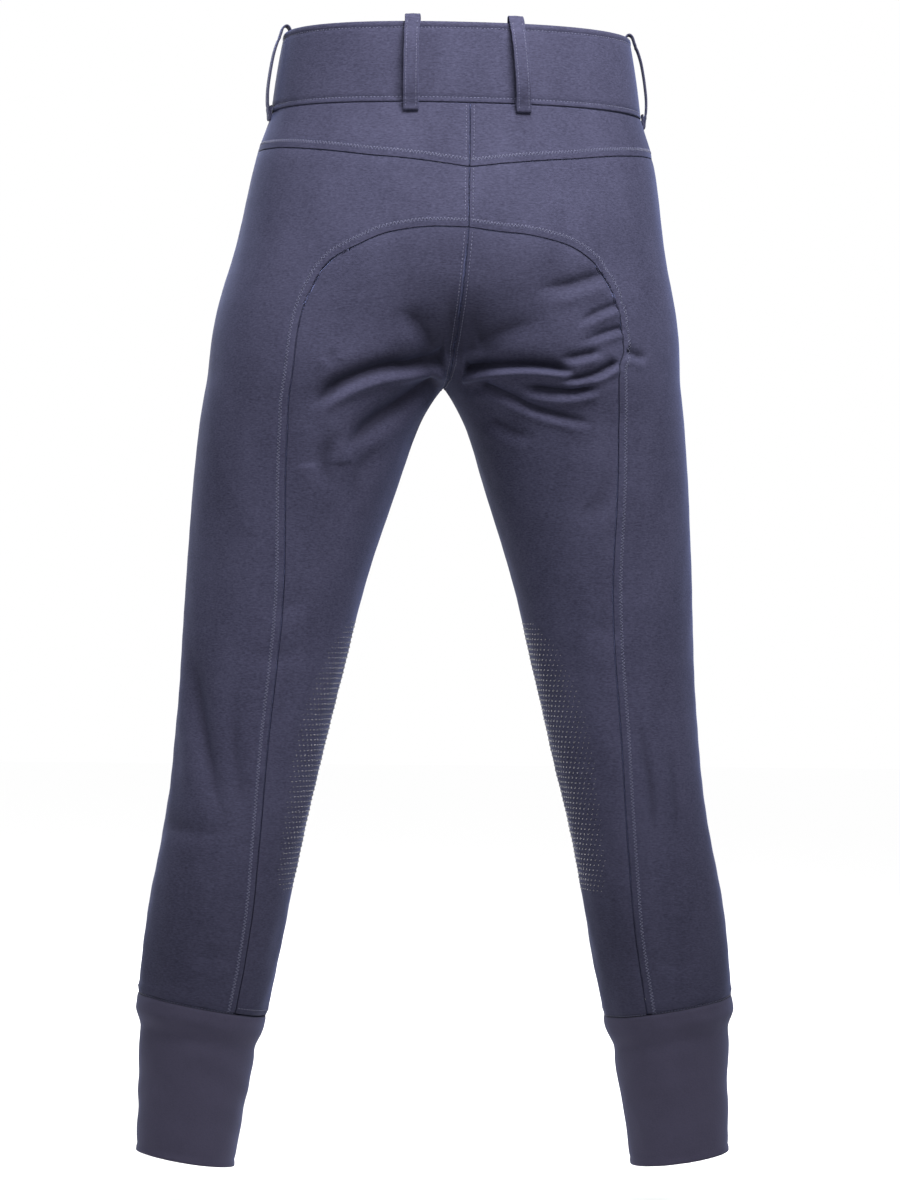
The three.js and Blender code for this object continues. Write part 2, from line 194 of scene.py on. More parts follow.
def finer(data, inside):
    """Splits the cells whose middle passes the test into four."""
    mesh = bmesh.new()
    mesh.from_mesh(data)
    edges = {e for f in mesh.faces if inside(f.calc_center_median()) for e in f.edges}
    bmesh.ops.subdivide_edges(mesh, edges=list(edges), cuts=1, use_grid_fill=True)
    bmesh.ops.triangulate(mesh, faces=[f for f in mesh.faces if len(f.verts) > 4])
    mesh.to_mesh(data)


def at_the_seat(spot):
    return spot.y > 0 and abs(spot.x) < 0.16 and -0.34 < spot.z < -0.155


rough_sheet = placed("rough_sheet", joined_mesh("rough_sheet", [patches[p] for p in PANELS]))
smooth = rough_sheet.modifiers.new("smooth", "SUBSURF")
smooth.levels = smooth.render_levels = FINENESS
sheet = applied(rough_sheet)
finer(sheet, at_the_seat)
skin = points_of(sheet)
cells = [tuple(f.vertices) for f in sheet.polygons]
cell_panel = np.array([f.material_index for f in sheet.polygons])
print(f"sheet: {len(skin)} points, {len(cells)} cells")

# %% [markdown]
# ## Seams as lines
# A seam is a line of edges between cells of two different panels. The edges are strung together
# into lines once, and the grooves, stitches and bands are all measured from them.

# %% String seam edges together
edge_panels = {}
for cell, panel in zip(cells, cell_panel):
    for a, b in zip(cell, cell[1:] + cell[:1]):
        edge_panels.setdefault((min(a, b), max(a, b)), []).append(int(panel))


def strings(edges):
    """Edges as lines of points in order, the longest first."""
    links = {}
    for a, b in edges:
        links.setdefault(a, []).append(b)
        links.setdefault(b, []).append(a)
    lines = []
    while links:
        ends = [p for p, near in links.items() if len(near) == 1]
        line = [min(ends) if ends else min(links)]
        while links.get(line[-1]):
            here = line[-1]
            nxt = links[here].pop()
            links[nxt].remove(here)
            line.append(nxt)
        links = {p: near for p, near in links.items() if near}
        lines.append(line)
    return sorted(lines, key=len, reverse=True)


def seam(one, two=None):
    """The lines between two panels, or a panel's free edges, as point numbers."""
    want = sorted([PANELS.index(one), PANELS.index(two)]) if two else [PANELS.index(one)]
    return strings([e for e, found in edge_panels.items() if sorted(found) == want])


def downwards(line, points):
    return line if points[line[0], 2] >= points[line[-1], 2] else line[::-1]


for side in ("left", "right"):
    lines = seam(f"seat_panel_{side}", f"side_panel_{side}")
    print(side, "seat seam:", [len(line) for line in lines])
print("centre back:", [len(n) for n in seam("seat_panel_left", "seat_panel_right")])

# %% [markdown]
# ## The line of the seat
# The seat panel's edge is the line that shapes the whole back: a low arch over the seat, round
# shoulders, and two nearly straight seams down the legs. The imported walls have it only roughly, so
# the line is laid again, differently on the two sides as on any sewn garment. Its points were not
# chosen by hand: they are measured ones, which a helper program turned into millimetres on the
# garment. A formula with a reach, a fall and a squareness would be the better way. The cloth beside
# the line moves along, less and less with distance, and stays on the smooth skin.

# %% Lay the seat line
ARCH_TOP = (2, -135)
ARCHES = {  # (across, height) in millimetres
    "left": [
        (33, -135), (57, -138), (73, -142), (88, -149), (104, -157), (116, -167), (123, -178),
        (129, -191), (134, -206), (137, -222), (139, -239), (141, -258), (143, -274), (144, -298),
    ],
    "right": [
        (-23, -138), (-48, -140), (-73, -145), (-89, -151), (-102, -160), (-110, -170),
        (-117, -181), (-122, -193), (-125, -205), (-127, -221), (-128, -231), (-124, -243),
        (-124, -262), (-126, -294),
    ],
}  # fmt: skip
DRAG = 20 * MM
ARCH_POINTS = 600


def smoothstep(x, low, high):
    t = np.clip((x - low) / (high - low), 0.0, 1.0)
    return t * t * (3 - 2 * t)


def curve_through(points, count):
    """A smooth curve through the points, in a number of equal shares of its knots."""
    knots = np.array(points, float)
    padded = np.vstack([2 * knots[0] - knots[1], knots, 2 * knots[-1] - knots[-2]])
    at = np.linspace(0, len(knots) - 1, count)
    i = np.minimum(at.astype(int), len(knots) - 2)
    t = (at - i)[:, None]
    a, b, c, d = padded[i], padded[i + 1], padded[i + 2], padded[i + 3]
    bend = (2 * a - 5 * b + 4 * c - d) * t**2 + (3 * b - a - 3 * c + d) * t**3
    return 0.5 * (2 * b + (c - a) * t + bend)


def runs(points):
    """How far along a line each of its points is."""
    return np.concatenate([[0], np.cumsum(np.linalg.norm(np.diff(points, axis=0), axis=1))])


def along_line(points, stops):
    """Points on a line at given distances from its start."""
    run = runs(points)
    return np.column_stack([np.interp(stops, run, column) for column in np.transpose(points)])


smooth_tree = BVHTree.FromPolygons([tuple(p) for p in skin], cells)
starts, moves = [], []
for side, arch in ARCHES.items():
    line = downwards(max(seam(f"seat_panel_{side}", f"side_panel_{side}"), key=len), skin)
    low = next(i for i, p in enumerate(line) if skin[p, 2] < arch[-1][1] * MM)
    now = skin[line[: low + 1]][:, [0, 2]]
    wanted = MM * curve_through([ARCH_TOP, *arch], ARCH_POINTS)
    share = runs(now) / runs(now)[-1]
    laid = along_line(wanted, share * runs(wanted)[-1])
    shift = (laid - now) * (1 - smoothstep(share, 0.92, 1.0))[:, None]
    starts.append(skin[line[: low + 1]])
    moves.append(np.column_stack([shift[:, 0], 0 * shift[:, 0], shift[:, 1]]))
    most = np.linalg.norm(shift, axis=1).max() / MM
    print(f"{side} arch: {low} points, moved up to {most:.1f} mm")
starts, moves = np.vstack(starts), np.vstack(moves)
line_tree = KDTree(len(starts))
for i, start in enumerate(starts):
    line_tree.insert(start, i)
line_tree.balance()
moved = 0
for i in np.nonzero((skin[:, 1] > 0) & (skin[:, 2] < -0.07) & (skin[:, 2] > -0.36))[0]:
    _, nearest, far = line_tree.find(skin[i])
    pull = math.exp(-((far / DRAG) ** 2))
    if pull > 0.02:
        skin[i] = smooth_tree.find_nearest(Vector(skin[i] + pull * moves[nearest]))[0]
        moved += 1
print("points moved along with the seat line:", moved)

# %% [markdown]
# ## Folds
# Stretch cloth over a filled form stays smooth, except where it is gathered: at the crotch, beside
# the seat seam and at the knee. A real fold has a line where the cloth sinks, a soft slope on one
# side and a steep one with a raised lip on the other. Each row below is one fold: a curve through
# (across, height) points in millimetres, how far its slopes reach above and below that curve, how
# deep it sinks, how high its lip stands, and how softly it starts and ends. The points under the
# seat are measured ones from the same helper program, apart from the last row of each side. The
# rows of the legs and the front are given one by one. Either follows the cut better than noise
# does.

# %% The folds
FOLD_COLUMNS = ("side", "points", "above", "below", "depth", "lip", "start", "end")
FOLDS = [  # fmt: skip
    # under the seat on the wearer's left
    ("back", [(12, -240), (40, -244), (70, -249), (102, -262), (127, -282)], 8, 4.5, 6.5, 2.6, 0.03, 0.25),
    ("back", [(17, -252), (51, -276), (80, -297), (100, -317)], 9, 7, 4.6, 1.4, 0.05, 0.4),
    ("back", [(58, -199), (38, -213), (22, -235)], 8, 9, 2.6, 0.8, 0.4, 0.2),
    ("back", [(14, -172), (12, -208), (9, -240)], 12, 12, 2.8, 0.0, 0.6, 0.1),
    ("back", [(105, -232), (110, -240), (109, -250)], 4, 4, 1.0, 0.5, 0.4, 0.5),
    ("back", [(99, -293), (112, -322), (103, -352)], 9, 8, 2.6, 0.9, 0.4, 0.5),
    ("back", [(62, -300), (84, -334), (92, -372)], 11, 9, 2.0, 0.5, 0.4, 0.5),
    # under the seat on the wearer's right
    ("back", [(-1, -247), (-29, -244), (-59, -244), (-90, -248)], 6, 2.8, 6.2, 2.6, 0.02, 0.2),
    ("back", [(-72, -257), (-91, -253), (-107, -248), (-124, -238)], 4, 3, 4.2, 1.8, 0.3, 0.12),
    ("back", [(-43, -259), (-60, -263), (-84, -264.5), (-110, -259)], 4, 3.5, 4.6, 1.8, 0.35, 0.2),
    ("back", [(-12, -256), (-34, -266), (-57, -277), (-85, -285), (-109, -291)],
     3.6, 3.5, 3.6, 1.4, 0.08, 0.35),
    ("back", [(-18, -280), (-39, -294), (-63, -304)], 5, 5, 2.4, 0.9, 0.3, 0.5),
    ("back", [(-48, -184), (-81, -178), (-110, -168)], 5, 6, 2.8, 1.2, 0.5, 0.1),
    ("back", [(-84, -212), (-104, -200), (-123, -192)], 3.4, 3.4, 2.4, 1.2, 0.5, 0.1),
    ("back", [(-86, -227), (-111, -216), (-127, -211)], 3.4, 3.2, 2.6, 1.2, 0.5, 0.1),
    ("back", [(-72, -238), (-91, -235), (-110, -230)], 3.6, 3.4, 3.0, 1.3, 0.4, 0.3),
    ("back", [(-3, -178), (-7, -208), (-6, -236)], 10, 10, 2.0, 0.0, 0.6, 0.1),
    ("back", [(-8, -227), (-35, -215), (-68, -205)], 8, 11, 2.6, 0.8, 0.1, 0.6),
    ("back", [(-130, -229), (-140, -233), (-151, -235)], 4.5, 4, 2.4, 0.8, 0.1, 0.4),
    ("back", [(-92, -372), (-112, -352), (-120, -320)], 9, 9, 1.8, 0.6, 0.4, 0.5),
    # behind the knees and down the calves
    ("back", [(216, -470), (206, -540), (184, -640)], 7, 7, 2.8, 1.0, 0.3, 0.4),
    ("back", [(182, -500), (180, -560), (170, -620)], 7, 7, 1.8, 0.6, 0.4, 0.4),
    ("back", [(178, -618), (214, -622), (246, -615)], 6, 7, 1.8, 0.6, 0.4, 0.3),
    ("back", [(122, -470), (150, -482), (176, -478)], 7, 7, 0.9, 0.3, 0.4, 0.4),
    ("back", [(116, -430), (142, -440), (164, -446)], 8, 8, 0.8, 0.3, 0.4, 0.4),
    ("back", [(-148, -520), (-160, -580), (-167, -650)], 6, 6, 2.4, 0.9, 0.4, 0.4),
    ("back", [(-172, -530), (-182, -590), (-184, -650)], 6, 6, 1.8, 0.6, 0.4, 0.4),
    ("back", [(-98, -446), (-122, -456), (-150, -452)], 8, 8, 0.9, 0.3, 0.4, 0.4),
    ("back", [(172, -716), (194, -724), (216, -718)], 6, 6, 0.9, 0.3, 0.4, 0.4),
    ("back", [(-160, -722), (-180, -730), (-202, -722)], 6, 6, 0.9, 0.3, 0.4, 0.4),
    # the front: whiskers from the crotch, and the bend of the knees
    ("front", [(14, -236), (52, -222), (92, -196)], 8, 7, 2.2, 0.8, 0.15, 0.5),
    ("front", [(12, -250), (50, -252), (92, -246)], 7, 6, 2.0, 0.8, 0.1, 0.5),
    ("front", [(20, -268), (54, -288), (88, -312)], 6, 6, 1.6, 0.6, 0.2, 0.5),
    ("front", [(-6, -232), (-44, -220), (-88, -204)], 8, 7, 2.0, 0.8, 0.15, 0.5),
    ("front", [(-8, -248), (-44, -254), (-90, -258)], 7, 6, 2.2, 0.8, 0.1, 0.5),
    ("front", [(-14, -266), (-40, -284), (-74, -318)], 6, 6, 1.6, 0.6, 0.2, 0.5),
    ("front", [(112, -470), (146, -480), (182, -474)], 8, 8, 1.4, 0.5, 0.4, 0.4),
    ("front", [(126, -520), (156, -532), (194, -524)], 8, 8, 1.2, 0.4, 0.4, 0.4),
    ("front", [(-92, -462), (-128, -474), (-166, -470)], 8, 8, 1.4, 0.5, 0.4, 0.4),
    ("front", [(-108, -512), (-140, -526), (-178, -516)], 8, 8, 1.2, 0.4, 0.4, 0.4),
    ("front", [(170, -712), (196, -720), (222, -712)], 6, 6, 1.0, 0.4, 0.4, 0.4),
    ("front", [(-154, -716), (-178, -724), (-206, -716)], 6, 6, 1.0, 0.4, 0.4, 0.4),
]
FOLD_SCALE = 1.4
CREASE = 1.4  # 2 would be a round trough, 1 a sharp one
LINE_POINTS = 25


def fold_push(points, normals, fold):
    """How far one fold moves each point along its normal, in metres."""
    row = dict(zip(FOLD_COLUMNS, fold))
    flat = points[:, [0, 2]] / MM
    line = curve_through(row["points"], LINE_POINTS)
    reach = 3 * max(row["above"], row["below"])
    facing = normals[:, 1] if row["side"] == "back" else -normals[:, 1]
    near = (flat > line.min(0) - reach).all(1) & (flat < line.max(0) + reach).all(1)
    near = np.nonzero(near & (facing > 0.0))[0]
    best = np.full(len(near), 1e9)
    height, share = np.zeros(len(near)), np.zeros(len(near))
    for k, (start, stop) in enumerate(zip(line[:-1], line[1:])):
        way = stop - start
        up = np.array([-way[1], way[0]]) / np.linalg.norm(way)
        up *= 1 if up[1] > 0 else -1
        from_start = flat[near] - start
        t = np.clip(from_start @ way / (way @ way), 0, 1)
        apart = from_start - t[:, None] * way
        far = np.linalg.norm(apart, axis=1)
        closer = far < best
        best[closer] = far[closer]
        height[closer] = (np.sign(apart @ up) * far)[closer]
        share[closer] = ((k + t) / (len(line) - 1))[closer]
    slope = np.where(height > 0, row["above"], row["below"])
    sink = np.exp(-(abs(height / slope) ** CREASE))
    lip_at = height + 1.9 * row["below"]
    lip = np.exp(-((lip_at / (1.1 * row["below"])) ** 2))
    ends = smoothstep(share, 0, row["start"]) * smoothstep(1 - share, 0, row["end"])
    push = np.zeros(len(points))
    shape = row["lip"] * lip - row["depth"] * sink
    push[near] = MM * ends * shape * smoothstep(facing[near], 0.0, 0.35)
    return push


def normals_of(points, cells):
    """Smooth normals at the points of a mesh of four-sided or three-sided cells."""
    quads = np.array([c if len(c) == 4 else (*c, c[0]) for c in cells])
    across = np.cross(
        points[quads[:, 2]] - points[quads[:, 0]], points[quads[:, 3]] - points[quads[:, 1]]
    )
    total = np.zeros_like(points)
    for corner in range(4):
        np.add.at(total, quads[:, corner], across)
    return total / np.maximum(np.linalg.norm(total, axis=1, keepdims=True), 1e-12)


def waves(points, seed, count, shortest, longest, stretch):
    """Gentle uneven relief between -1 and 1, as a sum of seeded waves."""
    random = np.random.default_rng(seed)
    total = np.zeros(len(points))
    for _ in range(count):
        way = random.normal(size=3) / np.array(stretch)
        way /= np.linalg.norm(way)
        length = random.uniform(shortest, longest) * MM
        total += np.sin(points @ way * 2 * math.pi / length + random.uniform(0, 7))
    return total / count


skin_normal = normals_of(skin, cells)
fold_depth = FOLD_SCALE * sum(fold_push(skin, skin_normal, fold) for fold in FOLDS)
push = fold_depth.copy()
lower_leg = smoothstep(-skin[:, 2], 0.35, 0.6)
push += 0.9 * MM * waves(skin, 3, 9, 55, 120, (1, 1, 2.5))
push += (0.5 + 0.9 * lower_leg) * MM * waves(skin, 5, 12, 22, 60, (1, 1, 3.5))
print(f"folds: {len(FOLDS)}, deepest {push.min() / MM:.1f} mm, highest {push.max() / MM:.1f} mm")
folded = skin + push[:, None] * skin_normal

# %% [markdown]
# ## Seams that sink and cuffs that pull
# Sewing draws the cloth in, so the sheet sinks in a narrow valley along each seam. Above the cuff
# the seam allowance is turned up inside and makes a soft ridge.

# %% Press the seams in


def dense(points, step=0.5 * MM):
    """Points every half millimetre or so along a line of points."""
    parts = [
        np.linspace(a, b, max(2, int(np.linalg.norm(b - a) / step) + 1))[:-1]
        for a, b in zip(points[:-1], points[1:])
    ]
    return np.vstack([*parts, points[-1:]])


def distance_to(points, lines, reach):
    """Distance from each point to the nearest line, up to a reach."""
    targets = np.vstack([dense(line) for line in lines])
    tree = KDTree(len(targets))
    for i, target in enumerate(targets):
        tree.insert(target, i)
    tree.balance()
    low, high = targets.min(0) - reach, targets.max(0) + reach
    near = ((points > low) & (points < high)).all(1)
    far = np.full(len(points), reach)
    far[near] = [min(reach, tree.find(p)[2]) for p in points[near]]
    return far


SEAM_LINES = {}
for side in ("left", "right"):
    yoke, hip, seat, front = (
        f"{n}_{side}" for n in ("back_yoke", "side_panel", "seat_panel", "front_panel")
    )
    SEAM_LINES[f"yoke_{side}"] = seam(yoke, hip)
    SEAM_LINES[f"seat_{side}"] = seam(seat, hip)
    SEAM_LINES[f"outer_{side}"] = seam(hip, front) + seam(yoke, front)
    SEAM_LINES[f"inner_{side}"] = seam(seat, front)
for name, panel in (("top", "back_yoke"), ("hip", "side_panel"), ("seat", "seat_panel")):
    SEAM_LINES[f"middle_{name}"] = seam(f"{panel}_left", f"{panel}_right")
SEAM_LINES["middle_front"] = seam("front_panel_left", "front_panel_right")
all_lines = [folded[line] for lines in SEAM_LINES.values() for line in lines]
seam_far = distance_to(folded, all_lines, 9 * MM) / MM
valley = -0.55 * np.exp(-((seam_far / 3.0) ** 2))
cuff_edges = [
    line
    for panel in PANELS
    if "yoke" not in panel
    for line in seam(panel)
    if folded[line, 2].max() < -0.7
]
cuff_far = distance_to(folded, [folded[line] for line in cuff_edges], 14 * MM) / MM
ridge = 0.9 * np.exp(-(((cuff_far - 3.2) / 2.2) ** 2)) - 0.5 * np.exp(-((cuff_far / 1.4) ** 2))
folded = folded + MM * (valley + ridge)[:, None] * skin_normal
folded_normal = normals_of(folded, cells)
print("seams:", {name: len(lines) for name, lines in SEAM_LINES.items()})

# %% [markdown]
# ## Shader sums in plain Python
# A material is a small program made of nodes. Wrapping a socket in a class with the usual
# operators lets that program be read as a sum, such as `0.2 + 0.5 * wear`, while each operator
# still adds its own Math node behind it.

# %% A socket that can be used in sums


class Wire:
    """An output socket of a material's node."""

    tree = None

    def __init__(self, socket):
        self.socket = socket

    @classmethod
    def node(cls, kind, settings=None, inputs=None, output=0):
        """Any node: its settings first, then the values or links of its sockets."""
        made = cls.tree.nodes.new(kind)
        for name, value in (settings or {}).items():
            if name == "stops":
                ramp = made.color_ramp
                while len(ramp.elements) < len(value):
                    ramp.elements.new(0.5)
                for element, (place, colour) in zip(ramp.elements, value):
                    element.position, element.color = place, colour
            else:
                setattr(made, name, value)
        for name, value in (inputs or {}).items():
            if isinstance(value, Wire):
                cls.tree.links.new(value.socket, made.inputs[name])
            else:
                made.inputs[name].default_value = value
        return cls(made.outputs[output])

    def _maths(self, operation, one, two=0.0):
        return Wire.node("ShaderNodeMath", {"operation": operation}, {0: one, 1: two})

    def __add__(self, other):
        return self._maths("ADD", self, other)

    def __radd__(self, other):
        return self._maths("ADD", other, self)

    def __sub__(self, other):
        return self._maths("SUBTRACT", self, other)

    def __rsub__(self, other):
        return self._maths("SUBTRACT", other, self)

    def __mul__(self, other):
        return self._maths("MULTIPLY", self, other)

    def __rmul__(self, other):
        return self._maths("MULTIPLY", other, self)

    def __truediv__(self, other):
        return self._maths("DIVIDE", self, other)

    def __pow__(self, other):
        return self._maths("POWER", self, other)

    def fade(self, near, far):
        """1 up to near, falling smoothly to 0 at far."""
        ends = {"Value": self, 1: near, 2: far, 3: 1.0, 4: 0.0}
        return Wire.node("ShaderNodeMapRange", {"interpolation_type": "SMOOTHSTEP"}, ends)


def blend_colours(factor, one, two):
    """Colour one where the factor is 0 and colour two where it is 1."""
    ends = {0: factor, 6: one, 7: two}
    return Wire.node("ShaderNodeMix", {"data_type": "RGBA"}, ends, output=2)


def colour(red, green, blue):
    """A colour from its screen values of 0 to 255."""
    return tuple(((v / 255 + 0.055) / 1.055) ** 2.4 for v in (red, green, blue)) + (1.0,)


def place(stretch):
    """Where a point is on the object, in metres, stretched along each axis."""
    spot = Wire.node("ShaderNodeTexCoord", output=3)
    ends = {0: spot, 1: stretch}
    return Wire.node("ShaderNodeVectorMath", {"operation": "MULTIPLY"}, ends)


def noise(scale, stretch=(1, 1, 1), detail=2.0, roughness=0.55):
    ends = {"Vector": place(stretch), "Scale": scale, "Detail": detail, "Roughness": roughness}
    return Wire.node("ShaderNodeTexNoise", None, ends)


def mark(name):
    """A number kept at the mesh's points, such as the distance to a seam in metres."""
    kind = {"attribute_type": "GEOMETRY", "attribute_name": name}
    return Wire.node("ShaderNodeAttribute", kind, output=2)


def material(name, paint, shown):
    """A new material. paint returns what varies, as socket names and wires."""
    made = bpy.data.materials.new(name)
    made.use_nodes = True
    made.diffuse_color = shown
    Wire.tree = made.node_tree
    surface = made.node_tree.nodes["Principled BSDF"]
    for socket, value in paint().items():
        if isinstance(value, Wire):
            made.node_tree.links.new(value.socket, surface.inputs[socket])
        else:
            surface.inputs[socket].default_value = value
    print(f"material {name}: {len(made.node_tree.nodes)} nodes")
    return made


def bump(height, strength=1.0, distance=0.001):
    ends = {"Strength": strength, "Distance": distance, "Height": height}
    return Wire.node("ShaderNodeBump", None, ends)


# %% [markdown]
# ## The cloth
# The body cloth is a matt stretch twill. Seen close it has fine courses across the leg, a mottled
# yarn of slightly different blues, and a soft sheen where it turns away. Near a seam the cloth is
# pressed and a little darker in the line itself. Three marks are kept on the mesh: the distance to
# the seam, how deep a point lies in a fold's hollow, and how low it is on the leg. The cloth is
# painted darker in the hollows and toward the ankles. That is a liberty: it stands in for shade
# that these lamps don't give.

# %% Body cloth
HOLLOW_DEEP = 6 * MM


def body_cloth_paint():
    yarn = noise(420, (1, 1, 2.2), detail=4.0)
    cloud = noise(26, (1, 1, 0.6), detail=4.0)
    courses = noise(900, (0.25, 0.25, 1.6), detail=1.0)
    tone = 3.0 * (0.5 * yarn + 0.25 * cloud + 0.25 * courses) - 1.0
    base = blend_colours(tone, colour(27, 27, 40), colour(47, 47, 63))
    line = mark("seam").fade(0.0002, 0.0011)
    shade = 1.0 - mark("hollow").fade(0.0, HOLLOW_DEEP)
    base = blend_colours(0.6 * shade, base, colour(12, 12, 21))
    base = blend_colours(0.38 * mark("low"), base, colour(12, 12, 19))
    base = blend_colours(0.75 * line, base, colour(9, 9, 18))
    weave = 0.6 * courses + 0.5 * yarn
    return {
        "Base Color": base,
        "Roughness": 0.78 + 0.14 * yarn,
        "Normal": bump(weave, 0.35, 0.0004),
        "Sheen Weight": 0.12,
        "Sheen Roughness": 0.35,
        "Sheen Tint": colour(150, 165, 230),
        "Specular IOR Level": 0.06,
    }


BODY_CLOTH = material("body_cloth", body_cloth_paint, colour(80, 84, 112))

# %% [markdown]
# ## Panels with real edges
# Each panel is cut out of the folded sheet. Rings of narrow cells are added along its edge, and
# the outermost is pushed down, which gives the edge the turned-in roll of a sewn seam. An inner
# face one cloth thickness behind closes it into a thin solid.

# %% Cut out and thicken
CLOTH = 1.4 * MM
EDGE_GAP = 0.02 * MM
EDGE_RINGS = (0.9 * MM, 0.4 * MM)
EDGE_SINK = 0.75 * MM


def keep_marks(data, **marks):
    for name, values in marks.items():
        kept = data.attributes.new(name, "FLOAT", "POINT")
        kept.data.foreach_set("value", np.asarray(values, np.float32))


def from_arrays(name, points, faces, slot_material):
    data = bpy.data.meshes.new(name)
    data.from_pydata([tuple(p) for p in points], [], [tuple(int(i) for i in f) for f in faces])
    data.materials.append(slot_material)
    data.polygons.foreach_set("use_smooth", [True] * len(data.polygons))
    data.update()
    return data


def edge_rings(mesh):
    """Adds the narrow rings inside the edge and returns the edge's points."""
    trimmed = bmesh.ops.inset_region(
        mesh, faces=mesh.faces[:], thickness=EDGE_GAP, use_even_offset=True, use_boundary=True
    )
    bmesh.ops.delete(mesh, geom=trimmed["faces"], context="FACES")
    for width in EDGE_RINGS:
        bmesh.ops.inset_region(
            mesh, faces=mesh.faces[:], thickness=width, use_even_offset=True, use_boundary=True
        )
    return [v for v in mesh.verts if v.is_boundary]


def cloth_solid(name, mesh, thickness, slot_material, marks_of=None):
    """A closed thin solid that has the bmesh as its outer face."""
    mesh.normal_update()
    mesh.verts.index_update()
    points = np.array([v.co for v in mesh.verts])
    normals = np.array([v.normal for v in mesh.verts])
    outer = [[v.index for v in f.verts] for f in mesh.faces]
    count = len(points)
    inner = [[i + count for i in reversed(f)] for f in outer]
    rim = []
    for edge in mesh.edges:
        if edge.is_boundary:
            loop = edge.link_loops[0]
            a, b = loop.vert.index, loop.link_loop_next.vert.index
            rim.append([b, a, a + count, b + count])
    whole = np.vstack([points, points - thickness * normals])
    data = from_arrays(name, whole, outer + inner + rim, slot_material)
    if marks_of:
        keep_marks(data, **{k: np.tile(v, 2) for k, v in marks_of(points).items()})
    return placed(name, data)


def cut_panel(panel):
    """The panel's cells of the folded sheet as a bmesh."""
    number = PANELS.index(panel)
    mine = [cells[i] for i in np.nonzero(cell_panel == number)[0]]
    used = sorted({p for cell in mine for p in cell})
    mesh = bmesh.new()
    verts = {p: mesh.verts.new(folded[p]) for p in used}
    for cell in mine:
        mesh.faces.new([verts[p] for p in cell])
    mesh.normal_update()
    return mesh


folded_lines = [folded[line] for lines in SEAM_LINES.values() for line in lines]
folded_lines += [folded[line] for line in cuff_edges]
folded_points = KDTree(len(folded))
for i, point in enumerate(folded):
    folded_points.insert(point, i)
folded_points.balance()
hollow = np.maximum(0.0, -fold_depth)


def seam_marks(points):
    nearest = [folded_points.find(p)[1] for p in points]
    low = smoothstep(-points[:, 2], 0.48, 0.78)
    far = distance_to(points, folded_lines, 12 * MM)
    return {"seam": far, "hollow": hollow[nearest], "low": low}


pieces = {}
surfaces = {}
for panel in PANELS:
    mesh = cut_panel(panel)
    edge = edge_rings(mesh)
    mesh.normal_update()
    for vert in edge:
        vert.co -= Vector(folded_normal[folded_points.find(vert.co)[1]]) * EDGE_SINK
    surfaces[panel] = BVHTree.FromBMesh(mesh)
    area = sum(f.calc_area() for f in mesh.faces)
    piece = cloth_solid(panel + "_cloth", mesh, CLOTH, BODY_CLOTH, seam_marks)
    pieces[panel] = piece
    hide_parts(panel)
    print(f"{panel}: {len(piece.data.polygons)} faces, {area:.4f} m2")

# %% [markdown]
# ## Lofts
# The waistband and the cuffs are rings rather than panels. The rings of points that outline them
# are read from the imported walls, and new skin is lofted through them with a section of its own,
# which allows a rolled edge, a stitched groove or a ridge at any height.

# %% Rings and lofts


def edge_loops(mesh, wanted):
    """The open edges of a bmesh whose two ends both pass the test, strung into lines."""
    mesh.verts.index_update()
    edges = [e for e in mesh.edges if e.is_boundary and all(wanted(v.co) for v in e.verts)]
    return strings([(e.verts[0].index, e.verts[1].index) for e in edges])


def resampled(points, count, closed=False):
    """Evenly spaced points on a smooth curve through the given ones."""
    line = np.vstack([points, points[:1]]) if closed else np.asarray(points)
    if closed:
        wide = np.vstack([line[-3:-1], line, line[1:3]])
        fine = curve_through(wide, (len(wide) - 1) * 8 + 1)[16:-16]
    else:
        fine = curve_through(line, (len(line) - 1) * 8 + 1)
    even = along_line(fine, np.linspace(0, runs(fine)[-1], count + 1 if closed else count))
    return even[:-1] if closed else even


def grid_faces(rows, columns, ring_down, ring_across):
    """Cells of a grid whose rows or columns may close on themselves."""
    faces = []
    for i in range(rows if ring_down else rows - 1):
        for j in range(columns if ring_across else columns - 1):
            k, m = (i + 1) % rows, (j + 1) % columns
            faces.append((i * columns + j, k * columns + j, k * columns + m, i * columns + m))
    return faces


def facing_out(points, faces):
    """The faces turned so that the closed shape's volume is positive."""
    tri = np.array([(f[0], f[1], f[2]) for f in faces] + [(f[0], f[2], f[-1]) for f in faces])
    a, b, c = (points[tri[:, k]] for k in range(3))
    volume = np.einsum("ij,ij->i", a, np.cross(b, c)).sum()
    return faces if volume > 0 else [f[::-1] for f in faces]
